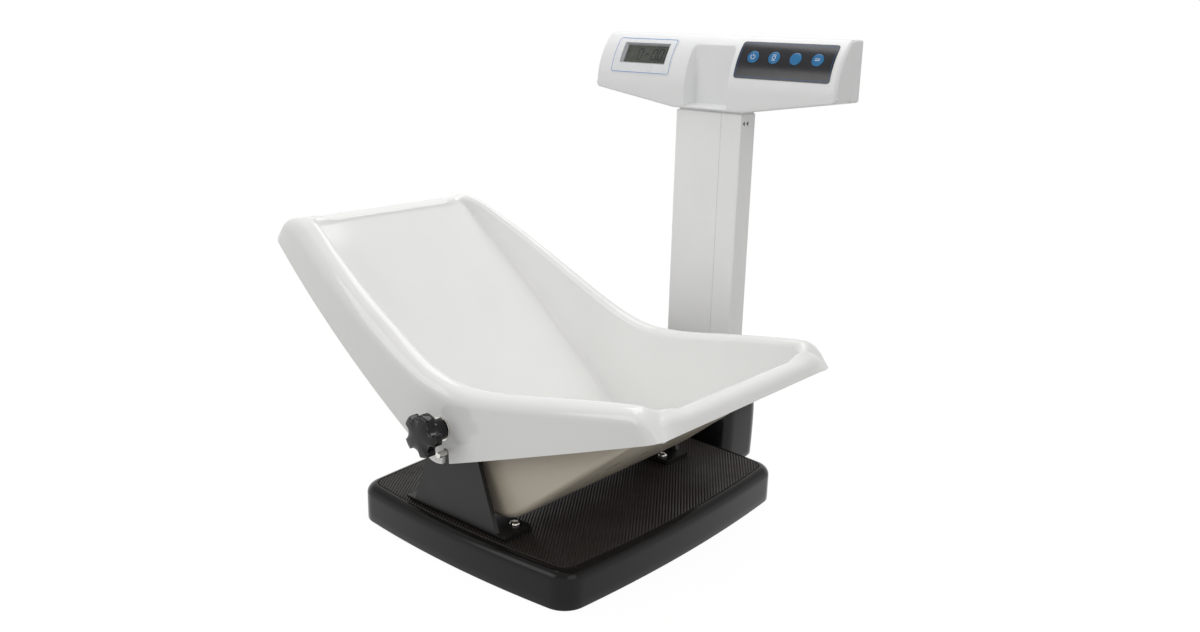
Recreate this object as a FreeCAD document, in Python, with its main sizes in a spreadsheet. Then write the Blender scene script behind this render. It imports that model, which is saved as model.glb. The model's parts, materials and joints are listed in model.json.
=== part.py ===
"""Digital baby weighing scale: a platform, a bolt-on seat, a column and a console head.

Millimetres, +Z up. X runs along the seat, from its head end (-X) to its foot end (+X). The column
stands at the back (+Y) and the operator's side is at the front (-Y). The frame's origin is the
centre of the footprint's box, on the floor. Sub-parts are drawn from the platform's centre and
moved to the frame by their Placement.
"""
import FreeCAD, Part
import math
import os
import re

import Sketcher
from FreeCAD import Placement, Rotation, Vector

doc = FreeCAD.newDocument("baby_scale")

SIZES = (
    # platform
    ("floor_gap", 2.5, "rubber feet standing proud of the housing"),
    ("platform_half_x", 152.4, "half length at the middle of a side"),
    ("platform_half_y", 177.8, "half depth at the middle of a side"),
    ("side_bulge", 9.0, "how far each platform side bows out"),
    ("platform_corner", 24.0, "corner radius in plan"),
    ("platform_height", 37.5, "cover height"),
    ("platform_round", 8.0, "round over the cover's top edge"),
    ("cover_wall", 3.0, "cover side wall"),
    ("cover_roof", 5.0, "cover top wall"),
    ("mat_half_x", 142.4, "half length of the rubber mat"),
    ("mat_half_y", 167.8, "half depth of the rubber mat"),
    ("mat_corner", 14.0, "mat corner radius"),
    ("mat_sunk", 2.0, "mat below the cover's top"),
    ("mat_proud", 0.5, "mat above the cover's top"),
    ("loose_fit", 0.3, "clearance between loose pieces"),
    ("plate_gap", 1.5, "gap between base plate and cover wall"),
    ("base_thick", 3.0, "base plate"),
    ("frame_thick", 3.0, "top frame under the cover"),
    ("frame_half_x", 118.0, "half length of the top frame"),
    ("frame_half_y", 150.0, "half depth of the top frame"),
    ("frame_rail", 34.0, "width of the top frame's rails"),
    ("cell_length", 130.0, "load cell beam"),
    ("cell_width", 30.0, "load cell beam"),
    ("cell_height", 20.0, "load cell beam"),
    ("cell_eye", 6.0, "radius of the load cell's flexure holes"),
    ("cell_eye_pitch", 24.0, "between the flexure holes"),
    ("cell_slot", 4.0, "slot between the flexure holes"),
    ("cell_bolt_inset", 16.0, "middle of each bolt pair, in from the end"),
    ("spacer_thick", 3.0, "spacer under the fixed end"),
    ("spacer_half", 14.0, "half length of the spacers"),
    ("cell_bolt_radius", 3.0, "load cell bolts"),
    ("cell_bolt_pitch", 15.0, "between the two bolts at each end"),
    ("cell_bolt_reach", 12.0, "bolt length in the cell"),
    ("flat_head_radius", 5.2, "low bolt heads"),
    ("flat_head", 1.8, "low bolt heads"),
    ("bolt_play", 0.2, "radial clearance round bolts"),
    ("foot_radius", 14.0, "rubber foot"),
    ("foot_inset", 34.0, "foot centre in from the platform side"),
    ("foot_plug_radius", 4.0, "plug of the rubber foot"),
    # brackets
    ("seat_y", -20.5, "seat centre plane"),
    ("pivot_x", -8.5, "knob axis and bracket centre"),
    ("pivot_rise", 38.7, "knob axis above the skirt's lowest point"),
    ("bracket_in", 14.0, "outer face of a bracket, in from the skirt at its widest"),
    ("bracket_thick", 4.8, "steel plate"),
    ("bracket_half", 58.6, "half length at the foot"),
    ("bracket_top_radius", 22.0, "rounded top about the knob axis"),
    ("bracket_bend", 4.0, "outer bend radius"),
    ("toe_depth", 37.0, "foot of the bracket, from the outer face"),
    ("toe_half", 69.0, "half length of the bracket's foot"),
    ("screw_spread", 54.5, "bracket screws, either side of the bracket centre"),
    ("screw_inset", 27.0, "bracket screws, in from the bracket's outer face"),
    ("screw_radius", 2.4, "bracket screws"),
    ("screw_head_radius", 5.0, "bracket screw pan head"),
    ("screw_head", 3.2, "bracket screw pan head"),
    ("nut_radius", 4.6, "nut, centre to corner"),
    ("nut_thick", 4.0, "nut under the top frame"),
    # knob, stud and locating pin
    ("stud_radius", 4.0, "knob stud"),
    ("stud_play", 0.05, "radial clearance of the stud in its insert"),
    ("insert_radius", 7.0, "threaded insert through the bracket"),
    ("insert_flange", 9.0, "insert flange radius, behind the plate"),
    ("insert_back", 2.5, "insert flange thickness"),
    ("stud_beyond", 0.5, "stud past the insert"),
    ("washer_radius", 11.5, "washer under the knob"),
    ("washer_thick", 1.5, "washer under the knob"),
    ("face_play", 0.1, "gap between faces that turn on each other"),
    ("hub_radius", 10.2, "knob hub at the washer"),
    ("hub_neck_radius", 8.6, "knob hub at the star"),
    ("hub_length", 14.5, "knob hub"),
    ("star_radius", 20.8, "knob star over its lobes"),
    ("star_thick", 12.5, "knob star"),
    ("scallop_radius", 8.6, "hollow between two lobes"),
    ("scallop_out", 23.8, "centre of the hollow from the axis"),
    ("star_round", 1.8, "round on the star's edges"),
    ("stud_in_knob", 16.0, "stud moulded into the knob"),
    ("pin_radius", 3.1, "locating pin"),
    ("pin_drop", 22.5, "locating pin below the knob axis"),
    ("pin_aside", 5.0, "locating pin towards the foot end"),
    ("pin_proud", 10.0, "locating pin past the skirt"),
    # seat
    ("seat_head_x", 304.0, "head end from the platform centre"),
    ("seat_foot_x", 229.5, "foot end from the platform centre"),
    ("seat_wide_x", -46.0, "where the seat is widest"),
    ("seat_half_wide", 155.5, "half width over the skirt at its widest"),
    ("head_taper", 26.5, "how much narrower each side is at the head end"),
    ("foot_taper", 16.0, "how much narrower each side is at the foot end"),
    ("seat_corner", 26.0, "corner radius in plan"),
    ("seat_wall", 3.5, "moulded wall"),
    ("rim_width", 22.0, "rolled rim, skirt to tub wall"),
    ("rim_outer_round", 9.0, "rounds along the rim"),
    ("rim_valley_x", -13.5, "where the two rim slopes meet"),
    ("rim_rise", 74.0, "same point above the skirt's lowest point"),
    ("rim_valley_radius", 160.0, "curve between the rim slopes"),
    ("rim_back_slope", 0.495, "rise over run towards the head end"),
    ("rim_foot_slope", 0.166, "rise over run towards the foot end"),
    ("horn_back", 40.0, "rim peak, in from the head end"),
    ("horn_foot", 24.0, "rim peak, in from the foot end"),
    ("horn_fall_head", 0.36, "fall of the rim from its peak to the head end"),
    ("horn_fall_foot", 0.23, "fall of the rim from its peak to the foot end"),
    ("horn_radius", 22.0, "curve over the rim peaks"),
    ("skirt_low_x", -19.5, "where the skirt's lower edges meet"),
    ("skirt_rise", 47.0, "same point above the tub's floor"),
    ("skirt_back_slope", 0.6, "lower edge towards the head end"),
    ("skirt_foot_slope", 0.347, "lower edge towards the foot end"),
    ("skirt_low_radius", 18.0, "curve at the lowest point"),
    ("tub_clear", 8.5, "gap between the mat and the tub's underside"),
    ("tub_back_x", 7.0, "where the back panel meets the tub floor"),
    ("tub_flat", 0.6, "level strip between the two bends"),
    ("tub_back_slope", 0.858, "back panel, rise over run"),
    ("tub_front_slope", 0.84, "front panel, rise over run"),
    ("tub_bend_radius", 42.0, "curve between panels and tub floor"),
    ("tub_draft", 0.1, "tub side walls, run over rise"),
    ("tub_corner_round", 20.0, "between panels and side walls"),
    ("pin_slot_width", 8.0, "open slot in the skirt over the pin"),
    ("slot_mouth", 15.0, "flared mouth of the slot"),
    ("boss_radius", 15.0, "boss behind the skirt at the knob"),
    # column and boot
    ("column_front", 216.0, "front face, from the platform centre"),
    ("column_depth", 28.5, "extruded column"),
    ("column_half", 43.3, "half width of the column"),
    ("column_wall", 2.5, "extrusion wall"),
    ("column_corner", 3.5, "outer corner radius"),
    ("column_foot", 24.0, "lower end above the floor"),
    ("column_gap", 2.5, "gap between the column and the head"),
    ("groove_x", 13.5, "groove in the front face"),
    ("groove_width", 1.6, "groove in the front face"),
    ("groove_deep", 0.8, "groove in the front face"),
    ("boot_half", 64.0, "half width of the boot at its foot"),
    ("boot_front", 168.0, "boot's front face, over the platform"),
    ("boot_back", 263.0, "boot's rear face"),
    ("boot_foot", 6.0, "boot's lower edge above the floor"),
    ("boot_top", 101.0, "boot's top above the floor"),
    ("boot_corner", 20.0, "boot's upright edges"),
    ("boot_round", 34.0, "round over the boot's top"),
    ("boot_wall", 3.0, "boot wall"),
    ("boot_lift", 4.0, "boot's front above the mat"),
    ("boot_behind", 2.0, "boot behind the platform's rear side"),
    ("tongue_half", 32.0, "half width of the steel tongue"),
    ("tongue_thick", 4.0, "steel tongue and upright"),
    ("tongue_front", 105.0, "front end of the tongue"),
    ("upright_top", 110.0, "upright of the tongue above the floor"),
    ("upright_half", 30.0, "half width of the upright"),
    # head
    ("frame_corner", 8.0, "corners of the top frame"),
    ("frame_bar_half", 22.0, "half width of the frame's middle bar"),
    ("tongue_screw_x", 22.0, "tongue screws, either side"),
    ("tongue_screw_in", 12.0, "tongue screws, in from its end"),
    ("tongue_screw_pitch", 40.0, "between the tongue screws"),
    ("wing_front", 196.0, "wings of the tongue, front edge"),
    ("wing_back", 236.0, "wings of the tongue, rear edge"),
    ("wing_half", 60.5, "half width over the wings"),
    ("boot_boss_x", 57.0, "boot's screw bosses, either side"),
    ("boot_boss_y", 214.0, "boot's screw bosses"),
    ("boot_boss", 5.0, "radius of the boot's screw bosses"),
    ("boot_boss_high", 20.0, "length of the boot's screw bosses"),
    ("boot_screw_in", 12.0, "boot screws in their bosses"),
    ("column_screw_x", 18.0, "column screws, either side"),
    ("column_screw_z", 42.0, "lower column screws above the floor"),
    ("column_screw_rise", 40.0, "between the column screws"),
    ("cap_screw_drop", 11.0, "cap screws below the column's top"),
    ("bracket_inner_bend", 1.5, "inner bend radius"),
    ("toe_corner", 4.0, "corners of the bracket's foot"),
    ("pin_head", 1.5, "locating pin's inner head"),
    ("pin_head_radius", 4.8, "locating pin's inner head"),
    ("lobe_round", 3.2, "round on the lobes' sides"),
    ("tub_end_inset", 9.0, "tub walls in from the seat's ends"),
    ("head_half", 160.0, "half length of the head"),
    ("head_front_y", 209.0, "head's front at its lower edge"),
    ("head_split_y", 242.5, "joint between front and rear shells"),
    ("head_back_y", 260.0, "head's rear face"),
    ("head_top", 491.0, "head's top above the floor"),
    ("head_end_drop", 64.0, "underside at the ends, below the top"),
    ("head_mid_drop", 81.0, "underside over the column, below the top"),
    ("head_mid_half", 47.0, "half length of the level underside"),
    ("head_curve", 80.0, "radius of the head's curved front"),
    ("curve_drop", 60.5, "where the curve starts, below the top"),
    ("head_wall", 2.6, "shell wall"),
    ("head_edge", 3.0, "round on the head's end edges"),
    ("recess_half", 27.5, "half width of the middle recess"),
    ("recess_floor_y", 226.0, "floor of the middle recess"),
    ("recess_lip", 2.5, "lip under the recess"),
    # display and keys
    ("window_drop", 23.2, "middle of the display window below the top"),
    ("window_aside", 1.0, "display window from the film's middle"),
    ("window_half_x", 33.0, "half length of the window opening"),
    ("window_half_up", 12.8, "half height of the window opening, on the slope"),
    ("glass_half_up", 10.6, "half height of the glass that shows, on the slope"),
    ("bezel_sunk", 1.15, "front of the bezel below the head's curve"),
    ("bezel_deep", 5.2, "bezel from front to back"),
    ("glass_thick", 1.2, "display window"),
    ("film_thick", 0.5, "printed films"),
    ("film_lift", 0.05, "adhesive under the films"),
    ("label_end", 20.0, "display film in from the head's end"),
    ("label_half", 43.0, "half length of the display film"),
    ("keypad_gap", 7.5, "keypad film from the middle recess"),
    ("keypad_end", 10.0, "keypad film in from the head's end"),
    ("film_low_drop", 44.0, "lower edge of the films below the top"),
    ("film_high_drop", 6.0, "upper edge of the films below the top"),
    ("key_in", 19.1, "first key from the film's inner end"),
    ("key_out", 19.6, "last key from the film's outer end"),
    ("key_radius", 7.0, "key cap"),
    ("key_drop", 21.5, "keys' centre below the top"),
    ("key_travel", 0.5, "key stroke"),
    ("key_proud", 0.6, "key cap past the film"),
    ("key_depth", 6.0, "key's inner end below the head's curve"),
    ("key_flange", 1.3, "key flange past the cap, all round"),
    ("key_flange_thick", 1.0, "key flange"),
    ("key_flange_gap", 0.7, "key flange behind the shell"),
    ("switch_gap", 0.1, "gap left under a pressed key"),
    ("switch_size", 6.0, "tact switch"),
    ("switch_thick", 3.0, "tact switch"),
    ("board_thick", 1.6, "circuit boards"),
    ("cable_radius", 2.0, "signal cable"),
    ("cable_bend", 20.0, "signal cable's bends"),
    ("cell_diameter", 14.5, "AA battery"),
    ("cell_long", 50.5, "AA battery"),
    ("door_half", 52.5, "half width of the battery door"),
    ("door_end", 11.5, "battery door in from the head's end"),
    ("door_low_drop", 56.5, "lower edge of the battery door below the top"),
    ("door_high_drop", 20.5, "upper edge of the battery door below the top"),
    ("door_thick", 2.0, "battery door"),
    ("door_gap", 0.6, "gap round the battery door"),
    ("catch_half", 6.0, "half width of the door's catch"),
    ("catch_in", 1.0, "catch below the door's upper edge"),
    ("catch_over", 0.3, "catch above the door's upper edge"),
    ("catch_thick", 1.2, "door's catch"),
    ("battery_pitch", 15.2, "between the two rows of batteries"),
    ("contact_thick", 0.5, "battery contacts"),
    ("contact_half", 4.0, "contacts past the batteries' middle"),
    ("tray_wall", 1.5, "battery tray"),
    ("inlet_end", 50.0, "power inlet in from the head's end"),
    ("inlet_drop", 45.0, "power inlet below the top"),
    ("inlet_radius", 4.5, "power inlet's collar"),
    ("inlet_bore", 2.8, "power inlet's bore"),
    ("inlet_half", 5.5, "half width of the inlet's housing"),
    ("inlet_long", 10.0, "length of the inlet's housing"),
    ("tab_radius", 1.6, "head screws"),
    ("tab_head_radius", 3.0, "head screws"),
    ("tab_head", 2.0, "head screws"),
    ("tab_grip", 8.0, "head screws in the front shell"),
    ("screw_seat", 10.0, "head screws' seat behind the joint"),
    ("head_screw_in", 6.4, "head screws in from the head's ends"),
    ("screw_low_drop", 54.0, "lower head screws below the top"),
    ("screw_high_drop", 10.0, "upper head screws below the top"),
    ("boss_post", 4.2, "screw bosses inside the head"),
    ("boss_length", 12.0, "screw bosses of the front shell"),
    ("head_brow", 8.0, "round between the curved front and the top"),
    ("recess_x", -2.0, "middle of the recess"),
    ("recess_drop", 9.5, "upper edge of the recess below the top"),
    ("cap_inset", 1.5, "cap's lip in from the column's faces"),
    ("cap_plug", 22.0, "cap inside the column"),
    ("cap_side_screw", 8.5, "side screws' reach from the column's rear face"),
    ("cap_top_screw", 14.0, "top screws below the head's floor"),
    ("cap_screw_x", 33.0, "top screws, either side"),
    ("cap_screw_y", 234.0, "top screws"),
    ("cable_y", 233.0, "signal cable inside the column"),
    ("cable_turn_y", 120.0, "signal cable's first run"),
    ("cable_in_y", 165.0, "signal cable at the cover's notch"),
    ("cable_clear", 6.0, "straight stretch outside the load cell"),
    ("main_depth", 12.0, "main board below the head's curve"),
    ("main_half_x", 44.0, "half length of the main board"),
    ("main_half_up", 16.5, "half height of the main board"),
    ("main_post_x", 40.0, "posts of the main board, either side"),
    ("main_post_up", 0.0, "posts of the main board, up and down"),
    ("post_radius", 2.5, "board posts"),
    ("socket_x", 30.0, "cable socket on the main board"),
    ("socket_up", 0.0, "cable socket on the main board"),
    ("socket_long", 8.0, "cable socket"),
    ("socket_half", 3.0, "half width of the cable socket"),
    ("key_board_in", 4.5, "key board in from the film's ends"),
    ("key_board_half_up", 13.0, "half height of the key board"),
    ("board_post_in", 4.0, "posts in from the key board's ends"),
    ("board_post_up", 10.5, "posts of the key board, up and down"),
    ("glass_half_x", 29.5, "half length of the glass that shows"),
    ("bezel_bevel", 2.5, "bevel round the bezel's opening"),
)

# Places worked out from the sizes, in the order in which they need each other.
PLACES = (
    ("shift_x", "(seat_head_x - seat_foot_x) / 2"),
    ("knob_reach", "hub_length + star_thick"),
    ("foot_bow", "((seat_foot_x - seat_wide_x)^2 + foot_taper^2) / (2 * foot_taper)"),
    ("washer_aside", "pivot_x - washer_radius - seat_wide_x"),
    ("skirt_face", "seat_half_wide - foot_bow + sqrt(foot_bow^2 - washer_aside^2)"),
    ("washer_face", "skirt_face + face_play + washer_thick"),
    ("knob_base", "washer_face + face_play"),
    ("knob_front", "knob_base + knob_reach"),
    ("shift_y", "(knob_front - seat_y - boot_back) / 2"),
    ("bracket_face", "seat_half_wide - bracket_in"),
    ("cover_top", "floor_gap + platform_height"),
    ("mat_top", "cover_top + mat_proud"),
    ("tub_floor", "mat_top + tub_clear + seat_wall"),
    ("skirt_low_height", "tub_floor + skirt_rise"),
    ("rim_valley_height", "skirt_low_height + rim_rise"),
    ("pivot_height", "skirt_low_height + pivot_rise"),
    ("head_end_low", "head_top - head_end_drop"),
    ("head_mid_low", "head_top - head_mid_drop"),
    ("head_curve_low", "head_top - curve_drop"),
    ("column_top", "head_mid_low - column_gap"),
    ("window_height", "head_top - window_drop"),
    ("film_low", "head_top - film_low_drop"),
    ("film_high", "head_top - film_high_drop"),
    ("key_height", "head_top - key_drop"),
    ("door_low", "head_top - door_low_drop"),
    ("door_high", "head_top - door_high_drop"),
    ("inlet_z", "head_top - inlet_drop"),
    ("head_screw_low", "head_top - screw_low_drop"),
    ("head_screw_high", "head_top - screw_high_drop"),
    ("recess_top", "head_top - recess_drop"),
    ("base_top", "floor_gap + base_thick"),
    ("cell_low", "base_top + spacer_thick"),
    ("cell_top", "cell_low + cell_height"),
    ("frame_low", "cover_top - cover_roof - frame_thick"),
    ("toe_top", "mat_top + bracket_thick"),
    ("tongue_top", "base_top + tongue_thick"),
    ("upright_back", "column_front + column_depth - column_wall"),
    ("curve_y", "head_front_y + head_curve"),
    ("cell_x", "cell_length / 2 - cell_bolt_inset"),
    ("board_depth", "key_depth + key_travel + switch_gap + switch_thick"),
    ("door_inner", "head_back_y - head_wall"),
    ("under_slope", "(head_end_low - head_mid_low) / (head_half - head_mid_half)"),
    ("label_x", "label_end + label_half - head_half"),
    ("window_x", "label_x + window_aside"),
    ("keypad_low_x", "recess_x + recess_half + keypad_gap"),
    ("keypad_half", "(head_half - keypad_end - keypad_low_x) / 2"),
    ("keypad_x", "keypad_low_x + keypad_half"),
    ("key_first_x", "keypad_low_x + key_in"),
    ("key_pitch", "(2 * keypad_half - key_in - key_out) / 3"),
    ("key_board_half_x", "keypad_half - key_board_in"),
    ("board_post_x", "key_board_half_x - board_post_in"),
    ("door_x", "head_half - door_end - door_half"),
    ("inlet_x", "inlet_end - head_half"),
    ("head_screw_x", "head_half - head_screw_in"),
    ("under_wall", "head_wall * sqrt(1 + under_slope^2)"),
)

sizes = doc.addObject("Spreadsheet::Sheet", "sizes")
places = doc.addObject("Spreadsheet::Sheet", "places")
for row, (name, size, note) in enumerate(SIZES, start=1):
    sizes.set(f"A{row}", name)
    sizes.set(f"B{row}", str(size))
    sizes.set(f"C{row}", note)
    sizes.setAlias(f"B{row}", name)
SIZE_NAMES = {name for name, size, note in SIZES}
PLACE_NAMES = {name for name, formula in PLACES}


def tied(text):
    """Write each name in a formula as the cell that holds it."""
    def cell(found):
        word = found.group()
        if word in SIZE_NAMES:
            return f"sizes.{word}"
        return f"places.{word}" if word in PLACE_NAMES else word
    return re.sub(r"[a-z_][a-z0-9_]*", cell, str(text))


def value(text):
    """The number that a formula gives."""
    found = sizes.evalExpression(tied(text))
    return float(getattr(found, "Value", found))


doc.recompute()
for row, (name, formula) in enumerate(PLACES, start=1):
    places.set(f"A{row}", name)
    places.set(f"B{row}", "=" + tied(formula).replace("places.", ""))
    places.setAlias(f"B{row}", name)
    doc.recompute()


def tie(thing, path, formula):
    thing.setExpression(path, tied(formula))


# --- sketches and features of bodies ---------------------------------------------------------

def new_body(name):
    return doc.addObject("PartDesign::Body", name)


def sketch(body, plane="XY", lift="0"):
    """A sketch on one of the body's own planes, lifted along the plane's normal."""
    drawn = body.newObject("Sketcher::SketchObject", body.Name + "_sketch")
    role = plane + "_Plane"
    support = [part for part in body.Origin.OriginFeatures if part.Role == role][0]
    drawn.AttachmentSupport = [(support, "")]
    drawn.MapMode = "FlatFace"
    tie(drawn, "AttachmentOffset.Base.z", lift)
    return drawn


def tilted_sketch(body, height, depth="0", x="0"):
    """A sketch tangent to the head's curved front at a height, sunk by a depth. X runs along
    the head and Y up the slope."""
    drawn = sketch(body)
    drawn.AttachmentOffset = Placement(Vector(), Rotation(Vector(1, 0, 0), 1))
    tilt_to_panel(drawn, "AttachmentOffset", height, depth, x)
    return drawn


def slope(height):
    """Angle of the head's front from upright, at a height."""
    return f"asin((({height}) - head_curve_low) / head_curve)"


def tilt_to_panel(thing, path, height, depth="0", x="0", shifted=False):
    """Bind a placement to the head's curved front: local Z points outwards."""
    reach = f"(head_curve - ({depth}))"
    moved_x = f" + shift_x" if shifted else ""
    moved_y = f" + shift_y" if shifted else ""
    tie(thing, f"{path}.Base.x", f"({x}){moved_x}")
    tie(thing, f"{path}.Base.y", f"curve_y - {reach} * cos({slope(height)}){moved_y}")
    tie(thing, f"{path}.Base.z", f"head_curve_low + {reach} * sin({slope(height)})")
    tie(thing, f"{path}.Rotation.Angle", f"90 deg - {slope(height)}")


def hold_point(drawn, edge, end, x, y):
    for way, formula in (("DistanceX", x), ("DistanceY", y)):
        held = Sketcher.Constraint(way, -1, 1, edge, end, value(formula))
        number = drawn.addConstraint(held)
        tie(drawn, f"Constraints[{number}]", formula)


def hold_radius(drawn, edge, radius):
    number = drawn.addConstraint(Sketcher.Constraint("Radius", edge, value(radius)))
    tie(drawn, f"Constraints[{number}]", radius)


def polygon(drawn, corners):
    """A closed outline of straight lines through corners given as pairs of formulas."""
    points = [Vector(value(x), value(y), 0) for x, y in corners]
    first = drawn.GeometryCount
    count = len(points)
    for start, end in zip(points, points[1:] + points[:1]):
        drawn.addGeometry(Part.LineSegment(start, end))
    for side in range(count):
        following = first + (side + 1) % count
        drawn.addConstraint(Sketcher.Constraint("Coincident", first + side, 2, following, 1))
    for side, (x, y) in enumerate(corners):
        hold_point(drawn, first + side, 1, x, y)


def rectangle(drawn, left, low, right, high):
    polygon(drawn, ((left, low), (right, low), (right, high), (left, high)))


def circle(drawn, x, y, radius):
    centre = Vector(value(x), value(y), 0)
    edge = drawn.addGeometry(Part.Circle(centre, Vector(0, 0, 1), value(radius)))
    hold_point(drawn, edge, 3, x, y)
    hold_radius(drawn, edge, radius)


def bowed_outline(drawn, half_x, half_y, corner):
    """Four shallow arcs that bow outwards, joined by tangent corner arcs."""
    bow = "side_bulge"
    radii = [f"((({half}) - {bow})^2 + {bow}^2) / (2 * {bow})" for half in (half_y, half_x)]
    side_x, side_y = (value(radius) for radius in radii)
    round_off = value(corner)
    centre_x, centre_y = value(half_x) - side_x, value(half_y) - side_y
    gap = math.hypot(centre_x, centre_y)
    reach_x, reach_y = side_x - round_off, side_y - round_off
    along = (reach_x ** 2 - reach_y ** 2 + gap ** 2) / (2 * gap)
    across = math.sqrt(reach_x ** 2 - along ** 2)
    unit = Vector(-centre_x, centre_y, 0) / gap
    corner_at = Vector(centre_x, 0, 0) + unit * along + Vector(unit.y, -unit.x, 0) * -across
    if corner_at.x < 0 or corner_at.y < 0:
        corner_at = Vector(centre_x, 0, 0) + unit * along + Vector(unit.y, -unit.x, 0) * across
    sweep_x = math.atan2(corner_at.y, corner_at.x - centre_x)
    sweep_y = math.atan2(corner_at.x, corner_at.y - centre_y)
    quarter = math.pi / 2
    sides = ((centre_x, 0, side_x, sweep_x), (0, centre_y, side_y, sweep_y),
             (-centre_x, 0, side_x, sweep_x), (0, -centre_y, side_y, sweep_y))
    signs = ((1, 1), (-1, 1), (-1, -1), (1, -1))
    first = drawn.GeometryCount
    for turn, (x, y, radius, sweep) in enumerate(sides):
        following = sides[(turn + 1) % 4][3]
        side = Part.Circle(Vector(x, y, 0), Vector(0, 0, 1), radius)
        drawn.addGeometry(Part.ArcOfCircle(side, turn * quarter - sweep, turn * quarter + sweep))
        at = Vector(signs[turn][0] * corner_at.x, signs[turn][1] * corner_at.y, 0)
        bend = Part.Circle(at, Vector(0, 0, 1), round_off)
        drawn.addGeometry(Part.ArcOfCircle(bend, turn * quarter + sweep,
                                           (turn + 1) * quarter - following))
    for turn, way in enumerate(("", "", "-", "-")):
        side = first + 2 * turn
        half, radius = ((half_x, radii[0]), (half_y, radii[1]))[turn % 2]
        middle = f"{way} (({half}) - {radius})"
        hold_point(drawn, side, 3, *((middle, "0"), ("0", middle))[turn % 2])
        hold_radius(drawn, side, radius)
        hold_radius(drawn, side + 1, corner)
        after = first + (2 * turn + 2) % 8
        drawn.addConstraint(Sketcher.Constraint("Tangent", side, 2, side + 1, 1))
        drawn.addConstraint(Sketcher.Constraint("Tangent", side + 1, 2, after, 1))


def ring_strip(drawn, inner, outer, low, high):
    """A strip between two arcs about the curve's centre, cut level at two heights. It is drawn
    in the YZ plane, on the head's front."""
    centre = Vector(value("curve_y"), value("head_curve_low"), 0)
    ends = []
    first = drawn.GeometryCount
    for radius in (value(inner), value(outer)):
        rises = [value(level) - centre.y for level in (low, high)]
        angles = [math.pi - math.asin(rise / radius) for rise in rises]
        arc = Part.Circle(centre, Vector(0, 0, 1), radius)
        drawn.addGeometry(Part.ArcOfCircle(arc, angles[1], angles[0]))
        ends.append([centre + Vector(math.cos(a), math.sin(a), 0) * radius for a in angles])
    for level in (0, 1):
        drawn.addGeometry(Part.LineSegment(ends[0][level], ends[1][level]))
    for edge, radius in ((first, inner), (first + 1, outer)):
        hold_point(drawn, edge, 3, "curve_y", "head_curve_low")
        hold_radius(drawn, edge, radius)
    for level, height in ((0, low), (1, high)):
        line = first + 2 + level
        for end, arc in ((1, first), (2, first + 1)):
            joint = Sketcher.Constraint("Coincident", line, end, arc, 2 - level)
            drawn.addConstraint(joint)
            held = Sketcher.Constraint("DistanceY", -1, 1, line, end, value(height))
            tie(drawn, f"Constraints[{drawn.addConstraint(held)}]", height)


def feature(body, kind, drawn, length=None, way="One side", reverse=False):
    made = body.newObject("PartDesign::" + kind, body.Name + "_" + kind.lower())
    made.Profile = drawn
    made.SideType = way
    made.Reversed = reverse
    if length is None:
        made.Type = 1
    else:
        tie(made, "Length", length)
    return made


def pad(body, drawn, length, way="One side", reverse=False):
    return feature(body, "Pad", drawn, length, way, reverse)


def pocket(body, drawn, length=None, way="One side", reverse=False):
    """Cut a sketch's outline out of the body, right through unless a length is given."""
    doc.recompute()
    before = body.Shape.Volume
    made = feature(body, "Pocket", drawn, length, way, reverse)
    doc.recompute()
    if not body.Shape.Volume < before - 1e-6:
        raise RuntimeError(f"{made.Name} cuts nothing")
    return made


def fillet(body, radius, chosen):
    """Round the edges that a test picks from the body so far."""
    doc.recompute()
    base = body.Tip
    names = [f"Edge{number}" for number, edge in enumerate(base.Shape.Edges, start=1)
             if chosen(edge)]
    if not names:
        raise RuntimeError(f"{body.Name}: no edges to round")
    made = body.newObject("PartDesign::Fillet", body.Name + "_fillet")
    made.Base = (base, names)
    tie(made, "Radius", radius)
    return made


def hollow_out(body, wall, open_face):
    """Hollow the body so far to a wall, open at the face that a test picks."""
    doc.recompute()
    base = body.Tip
    faces = [f"Face{number}" for number, face in enumerate(base.Shape.Faces, start=1)
             if open_face(face)]
    shell = body.newObject("PartDesign::Thickness", body.Name + "_wall")
    shell.Base = (base, faces)
    tie(shell, "Value", wall)
    shell.Reversed = True
    shell.Intersection = True
    doc.recompute()
    if shell.Shape.Volume > base.Shape.Volume / 2:
        raise RuntimeError(f"{body.Name} isn't hollow")


def ends_of(edge):
    return [vertex.Point for vertex in edge.Vertexes]


def same(one, other):
    return abs(one - other) < 1e-4


def upright(edge):
    """Whether an edge is straight and runs along Z."""
    ends = ends_of(edge)
    if len(ends) < 2:
        return False
    return same(ends[0].x, ends[1].x) and same(ends[0].y, ends[1].y)


def level_at(height):
    """A test for the edges that lie at one height."""
    place = value(height)
    return lambda edge: same(edge.BoundBox.ZMin, place) and same(edge.BoundBox.ZMax, place)


# --- simple pieces ---------------------------------------------------------------------------

TURNS = {
    "up": Rotation(),
    "front": Rotation(Vector(1, 0, 0), 90),
    "back": Rotation(Vector(1, 0, 0), -90),
    "right": Rotation(Vector(0, 1, 0), 90),
}


def put(thing, x, y, z):
    for axis, formula in zip("xyz", (x, y, z)):
        tie(thing, f"Placement.Base.{axis}", formula)
    return thing


def rod(x, y, z, radius, length, way="up"):
    """A round bar from a point, pointing up, to the front (-Y), the back (+Y) or the right."""
    made = doc.addObject("Part::Cylinder", "rod")
    made.Placement = Placement(Vector(), TURNS[way])
    tie(made, "Radius", radius)
    tie(made, "Height", length)
    return put(made, x, y, z)


def block(x, y, z, length, width, height):
    """A box from its lowest corner."""
    made = doc.addObject("Part::Box", "block")
    for side, formula in (("Length", length), ("Width", width), ("Height", height)):
        tie(made, side, formula)
    return put(made, x, y, z)


def fuse(pieces):
    made = doc.addObject("Part::MultiFuse", "fuse")
    made.Shapes = pieces
    return made


def group(pieces):
    made = doc.addObject("Part::Compound", "group")
    made.Links = pieces
    return made


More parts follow.
